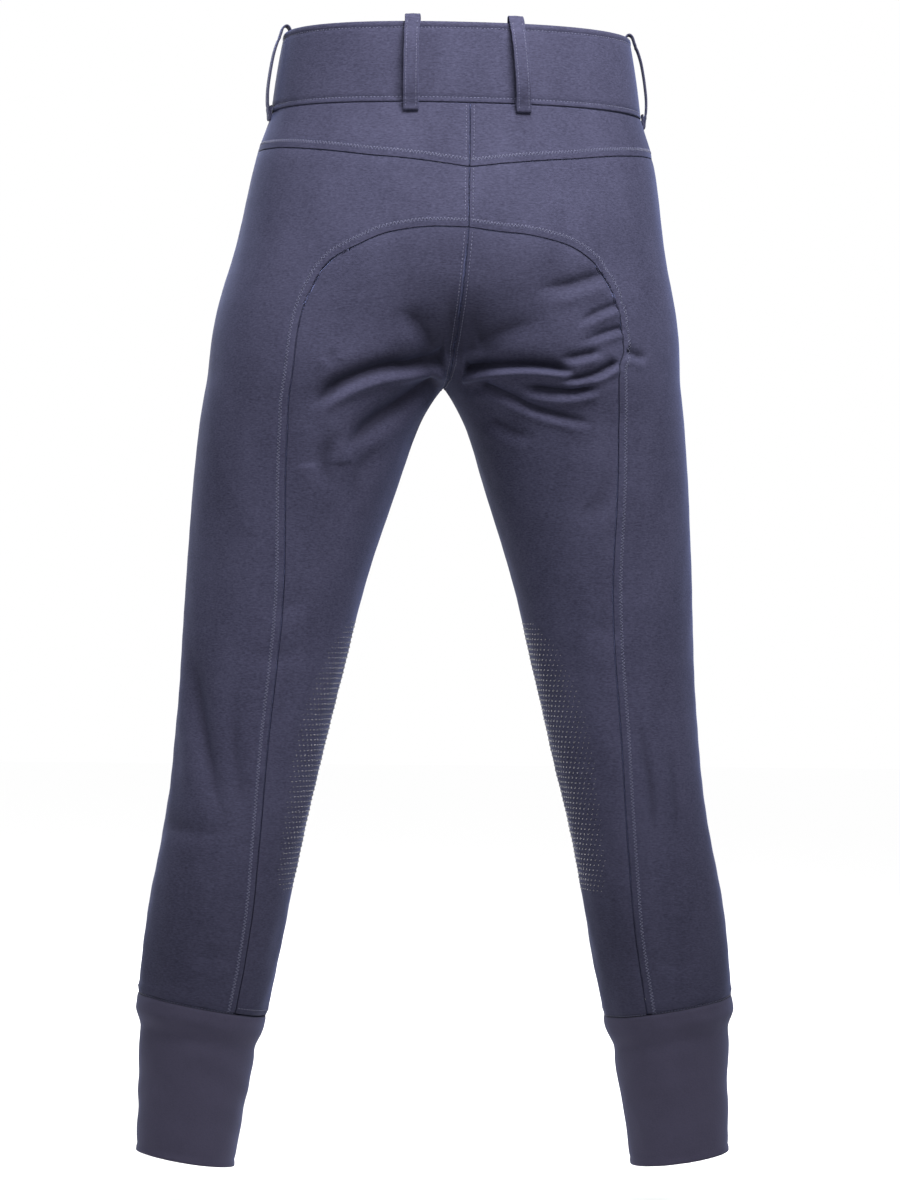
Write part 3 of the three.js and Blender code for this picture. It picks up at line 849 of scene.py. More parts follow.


# %% [markdown]
# ## Waistband
# The band is one strip folded over its stiffening, 66 mm tall. Its top edge is a soft roll above a
# row of topstitching, and a second row runs just above the seam that joins it to the body. It is
# lofted between the top and seam rings of the imported strip with a section that has both grooves.

# %% Waistband
BAND_ACROSS = 420
BAND_TALL = 66  # millimetres
BAND_SECTION = [  # height from the seam up and how far the face stands out, in millimetres
    (0.0, -1.0), (0.3, -0.3), (1.2, 0.05), (3.3, 0.1), (4.2, -0.4), (5.1, 0.1), (9.0, 0.2),
    (16.0, 0.35), (24.0, 0.5), (33.0, 0.55), (42.0, 0.5), (50.0, 0.35), (57.0, 0.15),
    (59.8, 0.05), (60.8, -0.45), (61.8, 0.25), (63.4, 0.5), (64.9, 0.3), (65.8, -0.4),
    (66.1, -1.4), (65.8, -2.4), (64.8, -3.1), (62.0, -3.2), (48.0, -3.0), (33.0, -3.0),
    (18.0, -3.0), (3.0, -3.0), (0.3, -2.8),
]  # fmt: skip
band_face = outer_face("waistband")
band_points = np.array([v.co for v in band_face.verts])
levels = {}
for name, level in (("top", BAND_TALL / 2), ("seam", -BAND_TALL / 2)):
    loop = edge_loops(band_face, lambda co, z=level * MM: abs(co.z - z) < 0.5 * MM)[0]
    ring = band_points[loop]
    if ring[len(ring) // 4][0] > ring[3 * len(ring) // 4][0]:
        ring = ring[::-1]
    levels[name] = resampled(ring, BAND_ACROSS)
outward = np.cross(np.gradient(levels["seam"], axis=0), (0.0, 0.0, 1.0))
outward /= np.linalg.norm(outward, axis=1, keepdims=True)
middle = levels["seam"].mean(0)
if ((levels["seam"] - middle) * outward).sum() < 0:
    outward = -outward
rings = []
for up, out in BAND_SECTION:
    share = up / BAND_TALL
    base = levels["seam"] * (1 - share) + levels["top"] * share
    soft = 0.5 * waves(base, 11, 7, 40, 140, (1, 1, 3)) * math.sin(math.pi * min(share, 1))
    rings.append(base + MM * (out + soft)[:, None] * outward)
band_skin = np.vstack(rings)
band_faces = grid_faces(len(rings), BAND_ACROSS, True, False)
count = len(rings)
for column in (0, BAND_ACROSS - 1):
    end = [k * BAND_ACROSS + column for k in range(count)]
    for k in range(count // 2 - 1):
        band_faces.append(
            (end[k], end[k + 1], end[count - 2 - k], end[count - 1 - k])
            if column == 0
            else (end[count - 1 - k], end[count - 2 - k], end[k + 1], end[k])
        )
band_data = from_arrays("waistband_cloth", band_skin, facing_out(band_skin, band_faces), BODY_CLOTH)
keep_marks(band_data, seam=np.repeat([abs(up) * MM for up, _ in BAND_SECTION], BAND_ACROSS))
waistband = placed("waistband_cloth", band_data)
pieces["waistband"] = waistband
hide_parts("waistband")
band_tree = BVHTree.FromPolygons([tuple(p) for p in band_skin], band_faces)
print(f"waistband: {len(band_faces)} cells, {runs(levels['seam'])[-1]:.3f} m long")

# %% [markdown]
# ## Cuffs
# The cuffs are a finer, greyer knit. They flare a little under the seam, where they are gathered
# to a wider leg, then hug the ankle, and end in a thin raw edge. Their rings are read by walking
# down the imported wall, column by column.

# %% Cuff knit


def cuff_knit_paint():
    yarn = noise(600, (1, 1, 1.4), detail=3.0)
    cloud = noise(30, detail=3.0)
    base = blend_colours(0.6 * yarn + 0.4 * cloud, colour(27, 26, 37), colour(45, 43, 57))
    line = mark("seam").fade(0.0002, 0.0012)
    base = blend_colours(0.8 * line, base, colour(9, 9, 18))
    return {
        "Base Color": base,
        "Roughness": 0.84 + 0.1 * yarn,
        "Normal": bump(yarn, 0.3, 0.0004),
        "Sheen Weight": 0.1,
        "Sheen Roughness": 0.4,
        "Sheen Tint": colour(150, 165, 230),
        "Specular IOR Level": 0.1,
    }


CUFF_KNIT = material("cuff_knit", cuff_knit_paint, colour(66, 66, 84))

# %% Cuffs
CUFF_ACROSS = 168
CUFF_DOWN = 56
CUFF_CLOTH = 1.2 * MM
CUFF_TALL = 128  # millimetres
CUFF_LEVELS = np.array([0, 0.1, 0.2, 0.55, 1.0])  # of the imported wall's rings, from the top down


def rings_down(mesh):
    """The rings of a tube of cells, from its top edge down."""
    top = max(edge_loops(mesh, lambda co: co.z > -0.8), key=len)
    ring, rings, seen = top[:-1] if top[0] == top[-1] else top, [], set()
    mesh.verts.ensure_lookup_table()
    while ring:
        rings.append([mesh.verts[i] for i in ring])
        seen.update(ring)
        below = []
        for i in ring:
            near = [e.other_vert(mesh.verts[i]).index for e in mesh.verts[i].link_edges]
            near = [k for k in near if k not in seen and k not in below]
            near.sort(key=lambda k: mesh.verts[k].co.z)
            below += near[:1]
        ring = below if len(below) == len(ring) else []
    return [np.array([v.co for v in r]) for r in rings]


for side, seed in (("left", 21), ("right", 22)):
    found = [resampled(r, CUFF_ACROSS, True) for r in rings_down(outer_face(f"cuff_{side}"))]
    stack = np.array(found)
    down = np.linspace(0, 1, CUFF_DOWN) ** 1.15
    knots = CUFF_LEVELS[: len(found)]
    tube = np.empty((CUFF_DOWN, CUFF_ACROSS, 3))
    for axis in range(3):
        for column in range(CUFF_ACROSS):
            tube[:, column, axis] = np.interp(down, knots, stack[:, column, axis])
    axis_line = tube.mean(1, keepdims=True)
    out = tube - axis_line
    out[:, :, 2] = 0
    out /= np.linalg.norm(out, axis=2, keepdims=True)
    flat = tube.reshape(-1, 3)
    relief = 1.3 * waves(flat, seed, 9, 22, 60, (1, 1, 0.8)).reshape(CUFF_DOWN, CUFF_ACROSS)
    run = down[:, None] * CUFF_TALL
    flare = 1.5 * np.exp(-(((run - 12) / 8) ** 2)) - 1.1 * np.exp(-(((run - 27) / 8) ** 2))
    hem = -0.5 * np.exp(-(((run - 122) / 1.6) ** 2)) + 0.5 * smoothstep(run, 122, CUFF_TALL)
    tuck = -0.9 * np.exp(-((run / 1.6) ** 2))
    calm = smoothstep(run, 0, 8)
    tube = tube + MM * (flare + hem + tuck + relief * calm)[:, :, None] * out
    inside = tube - CUFF_CLOTH * out
    cuff_skin = np.vstack([tube.reshape(-1, 3), inside[::-1].reshape(-1, 3)])
    cuff_faces = grid_faces(2 * CUFF_DOWN, CUFF_ACROSS, True, True)
    cuff_data = from_arrays(
        f"cuff_{side}_knit", cuff_skin, facing_out(cuff_skin, cuff_faces), CUFF_KNIT
    )
    far = np.repeat(down * CUFF_TALL * MM, CUFF_ACROSS)
    keep_marks(cuff_data, seam=np.concatenate([far, far[::-1]]))
    cuff = placed(f"cuff_{side}_knit", cuff_data)
    pieces[f"cuff_{side}"] = cuff
    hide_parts(f"cuff_{side}")
    print(f"cuff_{side}: {len(found)} rings read, {len(cuff_faces)} cells")

# %% [markdown]
# ## Belt loops
# A belt loop is a narrow strip, folded so that its raw edges are hidden and sewn with two rows. It
# hooks over the band's top edge, bows out to let a belt pass, and is tucked under itself at its
# foot. Each is a flattened tube swept along such a path, standing on the band's own face.

# %% Belt loops
LOOP_WIDE = 12.5
LOOP_THICK = 1.9
LOOP_ROW = 4.1  # from the loop's middle to each row of stitches
LOOP_PATH = [  # out from the band's face and height, in millimetres
    (-5.0, 17.0), (-5.0, 25.0), (-4.9, 33.0), (-3.4, 37.0), (-1.2, 38.2), (1.1, 36.8),
    (3.6, 32.0), (7.2, 25.0), (9.3, 16.0), (9.9, 6.0), (9.9, -6.0), (9.4, -16.0),
    (7.6, -25.0), (5.4, -31.5), (4.5, -35.5), (4.3, -38.6), (3.0, -39.4), (2.2, -37.6),
    (2.0, -33.0), (2.0, -28.0),
]  # fmt: skip
LOOPS = [  # degrees from the centre back to the wearer's left, lean in degrees, share of the bulge
    ("back_left", 25, 0.0, 0.85),
    ("back_right", -21.5, -4.0, 0.85),
    ("side_left", 86, 0.0, 0.55),
    ("side_right", -86, 0.0, 0.6),
    ("front_left", 151, 0.0, 0.8),
    ("front_right", -151, 0.0, 0.8),
]
LOOP_ALONG = 72
LOOP_CLEAR = 2.2
LOOP_AROUND = 20


def loop_frame(node):
    """The foot of a loop on the band: a point on its face, and the ways out and across."""
    low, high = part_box(node)
    centre = (low + high) / 2
    flat = Vector((centre.x, centre.y, 0))
    hit, normal, *_ = band_tree.ray_cast(flat * 1.6, -flat.normalized())
    out = Vector((normal.x, normal.y, 0)).normalized()
    out = out if out.dot(flat) > 0 else -out
    return hit, out, Vector((0, 0, 1)).cross(out)


loop_feet = []
for name, turn, lean, bulge in LOOPS:
    node = f"belt_loop_{name}"
    foot, out, across = loop_frame(node)
    path = curve_through(LOOP_PATH, LOOP_ALONG)
    proud = path[:, 0] > LOOP_CLEAR
    path[proud, 0] = LOOP_CLEAR + bulge * (path[proud, 0] - LOOP_CLEAR)
    along = np.gradient(path, axis=0)
    along /= np.linalg.norm(along, axis=1, keepdims=True)
    tilt = math.tan(math.radians(lean))
    face_out = []
    for height in path[:, 1]:
        start = foot + out * 0.03
        start.z = max(-0.0325, min(0.031, height * MM))
        hit = band_tree.ray_cast(start, -out)[0]
        face_out.append((hit - foot).dot(out) / MM if hit else 0.0)
    loop_skin = []
    for k in range(LOOP_ALONG):
        centre = Vector(foot)
        centre.z = 0.0
        height = path[k, 1]
        centre += out * (path[k, 0] + face_out[k]) * MM + Vector((0, 0, height * MM))
        centre += across * (tilt * height) * MM
        thick_way = Vector((0, 0, along[k, 0])) - out * along[k, 1]
        for a in np.linspace(0, 2 * math.pi, LOOP_AROUND, endpoint=False):
            wide = math.copysign(abs(math.cos(a)) ** 0.35, math.cos(a)) * LOOP_WIDE / 2
            deep = math.copysign(abs(math.sin(a)) ** 0.6, math.sin(a)) * LOOP_THICK / 2
            groove = 0.22 * math.exp(-(((abs(wide) - LOOP_ROW) / 0.9) ** 2))
            deep -= math.copysign(groove, math.sin(a)) if abs(math.sin(a)) > 0.3 else 0
            wide *= 1 + 0.012 * math.sin(k * 0.8 + turn)
            loop_skin.append(centre + across * wide * MM + thick_way * deep * MM)
    loop_skin = np.array(loop_skin)
    loop_faces = grid_faces(LOOP_ALONG, LOOP_AROUND, False, True)
    for start in (0, (LOOP_ALONG - 1) * LOOP_AROUND):
        loop_faces.append(tuple(range(start, start + LOOP_AROUND))[:: 1 if start else -1])
    data = from_arrays(node + "_cloth", loop_skin, facing_out(loop_skin, loop_faces), BODY_CLOTH)
    keep_marks(data, seam=np.full(len(loop_skin), 0.01))
    piece = placed(node + "_cloth", data)
    pieces[node] = piece
    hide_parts(node)
    tree = BVHTree.FromPolygons([tuple(p) for p in loop_skin], loop_faces)
    loop_feet.append((node, Vector(foot), out, across, tilt, tree))
print("belt loops:", len(LOOPS))

# %% [markdown]
# ## Stitches
# Every stitch is a short bead of thread that dips into the cloth at both ends. They are made
# together, a whole row in one piece, from the two ends of each stitch and the cloth's own normal
# there. Rows are measured from the seams, so they follow every fold.

# %% Thread and rows of stitches
STITCH_SHARES = np.array([0.0, 0.14, 0.5, 0.86, 1.0])
STITCH_SWELL = np.array([0.45, 0.9, 1.0, 0.9, 0.45])
STITCH_LIFT = np.array([-0.9, 0.35, 0.75, 0.35, -0.9])
STITCH_SIDES = 6
ROW_PITCH = 3.0 * MM


def thread_paint():
    twist = noise(1500, detail=1.0)
    return {
        "Base Color": blend_colours(twist, colour(34, 35, 52), colour(64, 66, 89)),
        "Roughness": 0.55 + 0.2 * twist,
        "Sheen Weight": 0.1,
        "Specular IOR Level": 0.35,
    }


THREAD = material("thread", thread_paint, colour(100, 103, 138))


def stitches(name, ends, wide=0.55 * MM, high=0.3 * MM):
    """One piece of many stitches. ends is a list of (start, end, normal)."""
    start, stop, up = (np.array([e[k] for e in ends]) for k in range(3))
    up /= np.linalg.norm(up, axis=1, keepdims=True)
    side = np.cross(up, stop - start)
    side /= np.linalg.norm(side, axis=1, keepdims=True)
    turns = np.linspace(0, 2 * math.pi, STITCH_SIDES, endpoint=False)
    blocks = []
    for share, swell, lift in zip(STITCH_SHARES, STITCH_SWELL, STITCH_LIFT):
        middle = start + share * (stop - start) + lift * high * up
        for turn in turns:
            across = math.cos(turn) * swell * wide / 2
            above = math.sin(turn) * swell * high
            blocks.append(middle + across * side + above * up)
    points = np.stack(blocks, axis=1).reshape(-1, 3)
    per = len(STITCH_SHARES) * STITCH_SIDES
    one = grid_faces(len(STITCH_SHARES), STITCH_SIDES, False, True)
    one += [tuple(range(STITCH_SIDES))[::-1], tuple(range(per - STITCH_SIDES, per))]
    one = facing_out(points[:per], one)
    faces = [tuple(i + k * per for i in f) for k in range(len(ends)) for f in one]
    piece = placed(name, from_arrays(name, points, faces, THREAD))
    pieces[name] = piece
    print(f"{name}: {len(ends)} stitches")
    return piece


sheet_tree = BVHTree.FromPolygons([tuple(p) for p in folded], cells)


def beside(points, far, toward=None):
    """A line moved sideways over the cloth: its points and normals."""
    way = np.gradient(points, axis=0)
    total = []
    for sign in (1, -1):
        found = []
        for point, along in zip(points, way):
            up = sheet_tree.find_nearest(Vector(point))[1]
            side = up.cross(Vector(along)).normalized()
            found.append(sheet_tree.find_nearest(Vector(point) + sign * far * side))
        mine = [cell_panel[f[2]] for f in found]
        total.append((sum(m == toward for m in mine), found))
    best = max(total, key=lambda t: t[0])[1] if toward is not None else total[0][1]
    up = np.array([f[1] for f in best])
    wide = np.vstack([up[:1], up, up[-1:]])
    return np.array([f[0] for f in best]), wide[:-2] + wide[1:-1] + wide[2:]


def evened(points, pitch, ends=0.0):
    """The line's points at an even pitch, leaving a little at both ends."""
    length = runs(points)[-1]
    return along_line(points, np.arange(ends, length - ends, pitch))


def straight_row(points, ups, fill=0.62):
    """Stitches along a line whose points are one stitch apart."""
    ahead = points[1:] * fill + points[:-1] * (1 - fill)
    return list(zip(points[:-1], ahead, ups[:-1]))


def seam_row(line, far, panel, pitch=ROW_PITCH):
    even = evened(folded[line], pitch, 1.5 * MM)
    return straight_row(*beside(even, far, PANELS.index(panel)))


# %% [markdown]
# The seat and yoke seams are flat covered seams: next to the seam a band of short slanting threads
# goes back and forth. The middle seam and the seams of the fly have two plain rows instead.

# %% Rows on the body
COVER_MIDDLE = 6.3 * MM
COVER_HALF = 1.5 * MM
COVER_PITCH = 1.4 * MM
TWIN = 3.2 * MM


def covered(lines, panel):
    """The slanting threads of a covered seam, on one panel's side of it."""
    ends = []
    for line in lines:
        even = evened(folded[line], COVER_PITCH, 1.0 * MM)
        near, ups = beside(even, COVER_MIDDLE - COVER_HALF, PANELS.index(panel))
        beyond, _ = beside(even, COVER_MIDDLE + COVER_HALF, PANELS.index(panel))
        for k in range(len(even) - 1):
            one, two = (near, beyond) if k % 2 else (beyond, near)
            ends.append((one[k], two[k + 1], ups[k]))
    return ends


rows_of = {}
for side in ("left", "right"):
    yoke, hip, seat, front = (
        f"{n}_{side}" for n in ("back_yoke", "side_panel", "seat_panel", "front_panel")
    )
    name = f"yoke_cover_{side}"
    stitches(name, covered(SEAM_LINES[f"yoke_{side}"], yoke), 0.4 * MM, 0.2 * MM)
    rows_of.setdefault(yoke, []).append(name)
    name = f"seat_cover_{side}"
    stitches(name, covered(SEAM_LINES[f"seat_{side}"], hip), 0.4 * MM, 0.2 * MM)
    rows_of.setdefault(hip, []).append(name)
    for part, panel in (("top", yoke), ("hip", hip), ("seat", seat)):
        name = f"middle_row_{part}_{side}"
        ends = [e for line in SEAM_LINES[f"middle_{part}"] for e in seam_row(line, TWIN, panel)]
        stitches(name, ends)
        rows_of.setdefault(panel, []).append(name)
    name = f"cuff_row_{side}"
    ends = []
    for line in cuff_edges:
        if (folded[line, 0].mean() > 0) == (side == "left"):
            panel = PANELS[edge_panels[tuple(sorted(line[:2]))][0]]
            ends += seam_row(line, 5.0 * MM, panel, 2.6 * MM)
    stitches(name, ends, 0.45 * MM, 0.22 * MM)
    rows_of.setdefault(front, []).append(name)

# %% [markdown]
# The fly is marked on the outside by two rows that drop from the waistband and curve in to the
# middle seam. They hold the zip's shield behind the wearer's left front.

# %% Rows of the fly
FLY_ROW = [(39, -36), (38.5, -70), (37, -100), (31, -124), (20, -139), (9.5, -147)]
FLY_TWIN = 5.5  # millimetres between its two rows
AHEAD = -0.4  # a place well in front of the garment
TO_THE_BACK = Vector((0, 1, 0))
for name, inward in (("fly_row_outer", 0.0), ("fly_row_inner", FLY_TWIN)):
    line = curve_through([(x - inward, z + inward * 0.4 * (x < 30)) for x, z in FLY_ROW], 90)
    starts = [Vector((x * MM, AHEAD, z * MM)) for x, z in line]
    found = [sheet_tree.ray_cast(start, TO_THE_BACK) for start in starts]
    found = [f for f in found if f[0]]
    even = evened(np.array([f[0] for f in found]), ROW_PITCH, 1.0 * MM)
    ups = np.array([sheet_tree.find_nearest(Vector(p))[1] for p in even])
    stitches(name, straight_row(even, ups))
    rows_of.setdefault("front_panel_left", []).append(name)

# %% [markdown]
# The waistband has one row in each of its two grooves, and each belt loop one near each edge.

# %% Rows on the waistband and its loops
for name, height, out in (("band_row_lower", 4.2, -0.42), ("band_row_upper", 60.8, -0.47)):
    share = height / BAND_TALL
    base = levels["seam"] * (1 - share) + levels["top"] * share + MM * out * outward
    even = evened(base, ROW_PITCH, 2.0 * MM)
    ups = np.cross(np.gradient(even, axis=0), (0.0, 0.0, 1.0))
    ups *= np.sign((ups * (even - even.mean(0))).sum())
    stitches(name, straight_row(even, ups), 0.65 * MM, 0.34 * MM)
LOOP_PITCH = 2.7
for node, foot, out, across, tilt, tree in loop_feet:
    ends = []
    for edge in (-LOOP_ROW * MM, LOOP_ROW * MM):
        line, ups = [], []
        for height in np.arange(-36.5, 36.0, LOOP_PITCH):
            start = Vector((foot.x, foot.y, 0)) + out * 0.05 + across * (edge + tilt * height * MM)
            start.z = height * MM
            hit = tree.ray_cast(start, -out)
            if hit[0]:
                line.append(hit[0])
                ups.append(hit[1])
        ends += straight_row(np.array(line), np.array(ups), 0.66)
    stitches(node + "_rows", ends, 0.6 * MM, 0.28 * MM)
    node + "_rows"

# %% [markdown]
# ## Grip print
# The inner knees carry a print of small raised drops of clear rubber that hold the saddle. They
# stand in staggered rows, lie a little aslant, and shrink towards the edge of the print. Rays from
# the middle of the leg find the cloth under each one.

# %% Grip dots
DOT_LONG, DOT_WIDE, DOT_HIGH = 1.3 * MM, 0.7 * MM, 0.55 * MM
DOT_STEP, DOT_ROW = 5.0 * MM, 4.2 * MM
DOT_SLANT = math.radians(36)
DOT_SIDES = 8
PRINT_TOP, PRINT_FOOT = -452, -674
PRINT_EDGE = [  # height, and how far from the middle plane the print reaches at the back
    (-452, 77), (-470, 92), (-500, 107), (-531, 117), (-566, 124), (-604, 129), (-650, 135),
    (-668, 133), (-674, 130),
]  # fmt: skip
PRINT_FRONT = math.radians(55)
MIDDLE_SHIFT = 9 * MM


def grip_paint():
    return {
        "Base Color": colour(30, 30, 42),
        "Roughness": 0.26,
        "Specular IOR Level": 0.6,
        "Coat Weight": 0.5,
        "Coat Roughness": 0.15,
    }


GRIP = material("grip_rubber", grip_paint, colour(90, 90, 112))


def dot_shapes(spots):
    """Low domes: centre, way along, way across, normal and size of each."""
    rings = ((1.0, -0.25), (0.86, 0.45), (0.45, 0.9))
    points, faces = [], []
    turns = np.linspace(0, 2 * math.pi, DOT_SIDES, endpoint=False)
    for centre, along, across, up, size in spots:
        first = len(points)
        for spread, lift in rings:
            for turn in turns:
                flat = along * math.cos(turn) * DOT_LONG + across * math.sin(turn) * DOT_WIDE
                points.append(centre + size * (spread * flat + lift * DOT_HIGH * up))
        points.append(centre + size * DOT_HIGH * up)
        for r in range(len(rings) - 1):
            ring = first + r * DOT_SIDES
            for k in range(DOT_SIDES):
                a, b = ring + k, ring + (k + 1) % DOT_SIDES
                faces.append((a, b, b + DOT_SIDES, a + DOT_SIDES))
        top = first + (len(rings) - 1) * DOT_SIDES
        peak = len(points) - 1
        faces += [(top + k, top + (k + 1) % DOT_SIDES, peak) for k in range(DOT_SIDES)]
        faces.append(tuple(range(first, first + DOT_SIDES))[::-1])
    return np.array(points), faces


for side, sign in (("left", 1), ("right", -1)):
    spots = []
    edge_heights = np.array([h for h, _ in PRINT_EDGE])[::-1]
    edge_reach = np.array([r for _, r in PRINT_EDGE])[::-1]
    for row, z in enumerate(np.arange(PRINT_TOP * MM, PRINT_FOOT * MM, -DOT_ROW)):
        ring = folded[(abs(folded[:, 2] - z) < 3 * MM) & (folded[:, 0] * sign > 0)]
        core = (ring.min(0) + ring.max(0)) / 2
        radius = (ring[:, 1].max() - ring[:, 1].min() + ring[:, 0].max() - ring[:, 0].min()) / 4
        step = DOT_STEP / radius
        reach = np.interp(z / MM, edge_heights, edge_reach) * MM
        for k in range(-int(1.2 / step), int(2.3 / step)):
            turn = (k + 0.5 * (row % 2)) * step
            way = Vector((-sign * math.cos(turn), math.sin(turn), 0))
            hit, up, *_ = sheet_tree.ray_cast(Vector((core[0], core[1], z)), way)
            if hit is None:
                continue
            up = up if up.dot(way) > 0 else -up
            inside_back = (reach - abs(hit.x - MIDDLE_SHIFT)) if turn > 0 else 0.02
            inside_front = (PRINT_FRONT + turn) * radius
            inside = min(inside_back, inside_front, z - PRINT_FOOT * MM + 1 * MM)
            if inside < 0:
                continue
            size = 0.55 + 0.45 * min(1.0, inside / (14 * MM)) + rng.uniform(-0.06, 0.06)
            level = up.cross(Vector((0, 0, 1))).normalized()
            slant = DOT_SLANT + rng.uniform(-0.12, 0.12)
            along = level * math.cos(slant) + up.cross(level) * math.sin(slant)
            along.normalize()
            spots.append((hit, along, up.cross(along), up, size))
    points, faces = dot_shapes([tuple(map(np.array, s[:4])) + (s[4],) for s in spots])
    name = f"grip_print_{side}"
    piece = placed(name, from_arrays(name, points, faces, GRIP))
    pieces[name] = piece
    rows_of.setdefault(f"seat_panel_{side}", []).append(name)
    print(f"{name}: {len(spots)} dots")

# %% [markdown]
# ## Zip and buttons
# The zip sits behind the two front edges: two woven tapes, two rows of small coil teeth that mesh
# in the middle, and a slider with its pull at the top. The two waist buttons keep their packed
# shape, and get a dark satin metal.

# %% Zip


def tape_paint():
    rib = noise(900, (0.4, 1, 3.0), detail=1.0)
    return {
        "Base Color": blend_colours(rib, colour(30, 31, 44), colour(52, 54, 72)),
        "Roughness": 0.85,
        "Normal": bump(rib, 0.4, 0.0003),
    }


def metal_paint():
    scuff = noise(260, (1, 1, 5), detail=4.0)
    return {
        "Base Color": blend_colours(scuff, colour(120, 122, 128), colour(158, 160, 166)),
        "Metallic": 1.0,
        "Roughness": 0.3 + 0.16 * scuff,
    }


TAPE = material("zip_tape", tape_paint, colour(42, 44, 60))
METAL = material("button_metal", metal_paint, colour(140, 142, 148))
low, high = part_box("fly_zip")
zip_walls = outer_face("fly_zip")
zip_tree = BVHTree.FromBMesh(zip_walls)
ZIP_TOP, ZIP_FOOT = -38 * MM, -149 * MM
TAPE_THICK = 0.6 * MM
TOOTH_PITCH = 1.7 * MM
TAPE_ROWS, TAPE_COLUMNS = 60, 24


def behind_the_fly(x, z):
    """Where the tape's outer face lies."""
    hit = zip_tree.ray_cast(Vector((x, -0.3, z)), Vector((0, 1, 0)))[0]
    return hit.y if hit else (low.y + high.y) / 2


def blocks(name, boxes, slot_material):
    """One piece of many boxes, each given as its lowest and highest corner."""
    points, faces = [], []
    sides = ((0, 1, 3, 2), (4, 6, 7, 5), (0, 4, 5, 1), (2, 3, 7, 6), (0, 2, 6, 4), (1, 5, 7, 3))
    for small, large in boxes:
        first = len(points)
        for i in range(8):
            points.append([(large if i >> (2 - k) & 1 else small)[k] for k in range(3)])
        faces += [tuple(first + i for i in side) for side in sides]
    data = from_arrays(name, np.array(points), faces, slot_material)
    data.polygons.foreach_set("use_smooth", [False] * len(data.polygons))
    return placed(name, data)


middle = (low.x + high.x) / 2
across = np.linspace(low.x + 0.5 * MM, high.x - 0.5 * MM, TAPE_COLUMNS)
tape_rows = [
    [(x, behind_the_fly(x, z), z) for x in across] for z in np.linspace(ZIP_TOP, ZIP_FOOT, TAPE_ROWS)
]
tape = np.array(tape_rows).reshape(-1, 3)
print("zip tape depth:", round(tape[:, 1].min(), 4), round(tape[:, 1].max(), 4))
back = tape + np.array([0, TAPE_THICK, 0])
tape_skin = np.vstack([tape, back])
tape_faces = grid_faces(TAPE_ROWS, TAPE_COLUMNS, False, False)
n = len(tape)
tape_faces += [tuple(i + n for i in f[::-1]) for f in tape_faces]
numbers = np.arange(n).reshape(TAPE_ROWS, TAPE_COLUMNS)
rim = [*numbers[0], *numbers[1:, -1], *numbers[-1, -2::-1], *numbers[-2:0:-1, 0]]
tape_faces += [(a, b, b + n, a + n) for a, b in zip(rim, rim[1:] + rim[:1])]
tape_data = from_arrays("zip_tape", tape_skin, facing_out(tape_skin, tape_faces), TAPE)
zip_piece = placed("zip_tape", tape_data)
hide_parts("fly_zip")
pieces["zip_tape"] = zip_piece
teeth = []
for k, z in enumerate(np.arange(ZIP_FOOT + 6 * MM, ZIP_TOP - 12 * MM, TOOTH_PITCH)):
    at = behind_the_fly(middle, z) + TAPE_THICK
    left = middle + (-1.6 if k % 2 else -0.4) * MM
    teeth.append(((left, at - 0.1 * MM, z), (left + 2 * MM, at + 0.6 * MM, z + 1.1 * MM)))
pieces["zip_teeth"] = blocks("zip_teeth", teeth, TAPE)
at = behind_the_fly(middle, ZIP_TOP) + TAPE_THICK
slider = [
    ((middle - 3.6 * MM, at, -49 * MM), (middle + 3.6 * MM, at + 1.1 * MM, -40 * MM)),
    ((middle - 1.2 * MM, at + 1.1 * MM, -47 * MM), (middle + 1.2 * MM, at + 1.8 * MM, -42 * MM)),
    ((middle - 2.2 * MM, at + 1.3 * MM, -66 * MM), (middle + 2.2 * MM, at + 1.9 * MM, -45 * MM)),
]
pieces["zip_slider"] = blocks("zip_slider", slider, METAL)
for node in ("waist_button_upper", "waist_button_lower"):
    frame["nodes"][node].data.materials.clear()
    frame["nodes"][node].data.materials.append(METAL)

# %% [markdown]
# ## Stage, light and camera
# The floor and the surroundings are plain and pale. One large soft light hangs above and behind
# the garment, so that every fold shows its shaded underside. Two round pools of light are aimed at
# the hips, so the light dies away down the legs.

# %% Stage


def floor_paint():
    return {"Base Color": (0.99, 0.99, 0.99, 1.0), "Roughness": 1.0, "Specular IOR Level": 0.0}


FLOOR = material("floor", floor_paint, (0.9, 0.9, 0.9, 1))
FLOOR_Z = -0.935
FLOOR_HALF = 9.0
corners = [(x, y, FLOOR_Z) for x, y in ((-1, -1), (1, -1), (1, 1), (-1, 1))]
corners = [(x * FLOOR_HALF, y * FLOOR_HALF, z) for x, y, z in corners]
floor = placed("floor", from_arrays("floor", corners, [(0, 1, 2, 3)], FLOOR))

# %% Lights


def aimed(name, data, at, aim):
    """A light placed and turned towards a point."""
    obj = placed(name, data)
    obj.location = at
    obj.rotation_euler = (Vector(aim) - Vector(at)).to_track_quat("-Z", "Y").to_euler()


def lamp(name, at, aim, size, power, tint=(1, 1, 1), spread=180):
    data = bpy.data.lights.new(name, "AREA")
    data.shape, data.size, data.energy, data.color = "SQUARE", size, power, tint
    data.spread = math.radians(spread)
    aimed(name, data, at, aim)


def pool(name, at, aim, wide, power):
    """A round soft-edged light that leaves what is outside its circle dark."""
    data = bpy.data.lights.new(name, "SPOT")
    data.energy, data.color = power, (0.94, 0.96, 1.0)
    data.spot_size, data.spot_blend, data.shadow_soft_size = math.radians(wide), 1.0, 0.35
    aimed(name, data, at, aim)


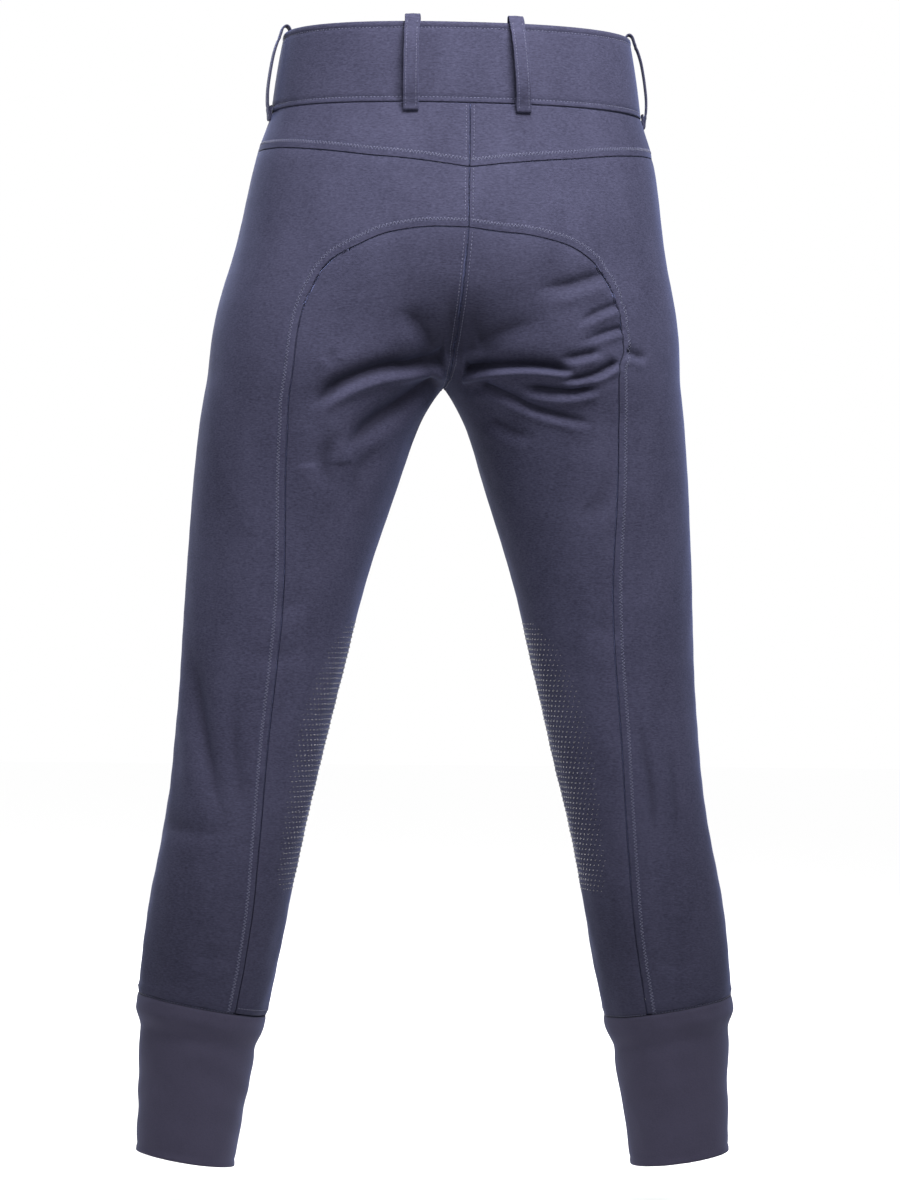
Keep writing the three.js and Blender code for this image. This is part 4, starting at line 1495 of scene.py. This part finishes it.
lamp("overhead", (-0.2, 0.8, 0.85), (0, 0.1, 0.02), 0.6, 17, (1.0, 0.99, 1.0), spread=80)
lamp("front_soft", (0.9, -2.3, 0.5), (0, 0, -0.4), 1.6, 45)
pool("right_pool", (-1.7, 2.1, 1.0), (-0.1, 0, -0.27), 34, 70)
pool("left_pool", (2.3, 1.1, 0.7), (0.12, 0, -0.2), 34, 120)
world = bpy.data.worlds.new("studio")
bpy.context.scene.world = world
world.use_nodes = True
world.node_tree.nodes["Background"].inputs["Color"].default_value = (1.0, 1.0, 1.0, 1.0)
world.node_tree.nodes["Background"].inputs["Strength"].default_value = 1.0
bpy.context.scene.view_settings.view_transform = "Standard"

# %% Camera
CAMERA_FAR = 3.4
CAMERA_HEIGHT = 0.996
CAMERA_TURN = math.radians(174)
CAMERA_ROLL = math.radians(0.7)
SENSOR_TALL = 36.0
aim = Vector((0, 0, -0.433))
eye = aim + CAMERA_FAR * Vector((math.sin(CAMERA_TURN), -math.cos(CAMERA_TURN), 0))
camera_data = bpy.data.cameras.new("camera")
camera_data.sensor_fit = "VERTICAL"
camera_data.sensor_height = SENSOR_TALL
camera_data.lens = SENSOR_TALL * CAMERA_FAR / CAMERA_HEIGHT
camera = placed("camera", camera_data)
camera.location = eye
look = (aim - eye).to_track_quat("-Z", "Y").to_matrix()
camera.rotation_euler = (look @ Matrix.Rotation(CAMERA_ROLL, 3, "Z")).to_euler()
bpy.context.scene.camera = camera

# %% [markdown]
# ## What each piece is cut from
# The flat size each panel is cut to is listed, width and length in metres, and the area of its cut,
# because none but the straight strips is a rectangle.

CUTS = {  # width, length and area of the flat cut
    "back_yoke": (0.19, 0.075, 0.0095),
    "side_panel": (0.20, 0.70, 0.0930),
    "seat_panel": (0.26, 0.64, 0.0930),
    "front_panel": (0.29, 0.75, 0.1480),
}
for panel in PANELS:
    wide, long, area = CUTS[panel.rsplit("_", 1)[0]]
for piece in pieces.values():
    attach(piece, "root")
bpy.context.view_layer.update()
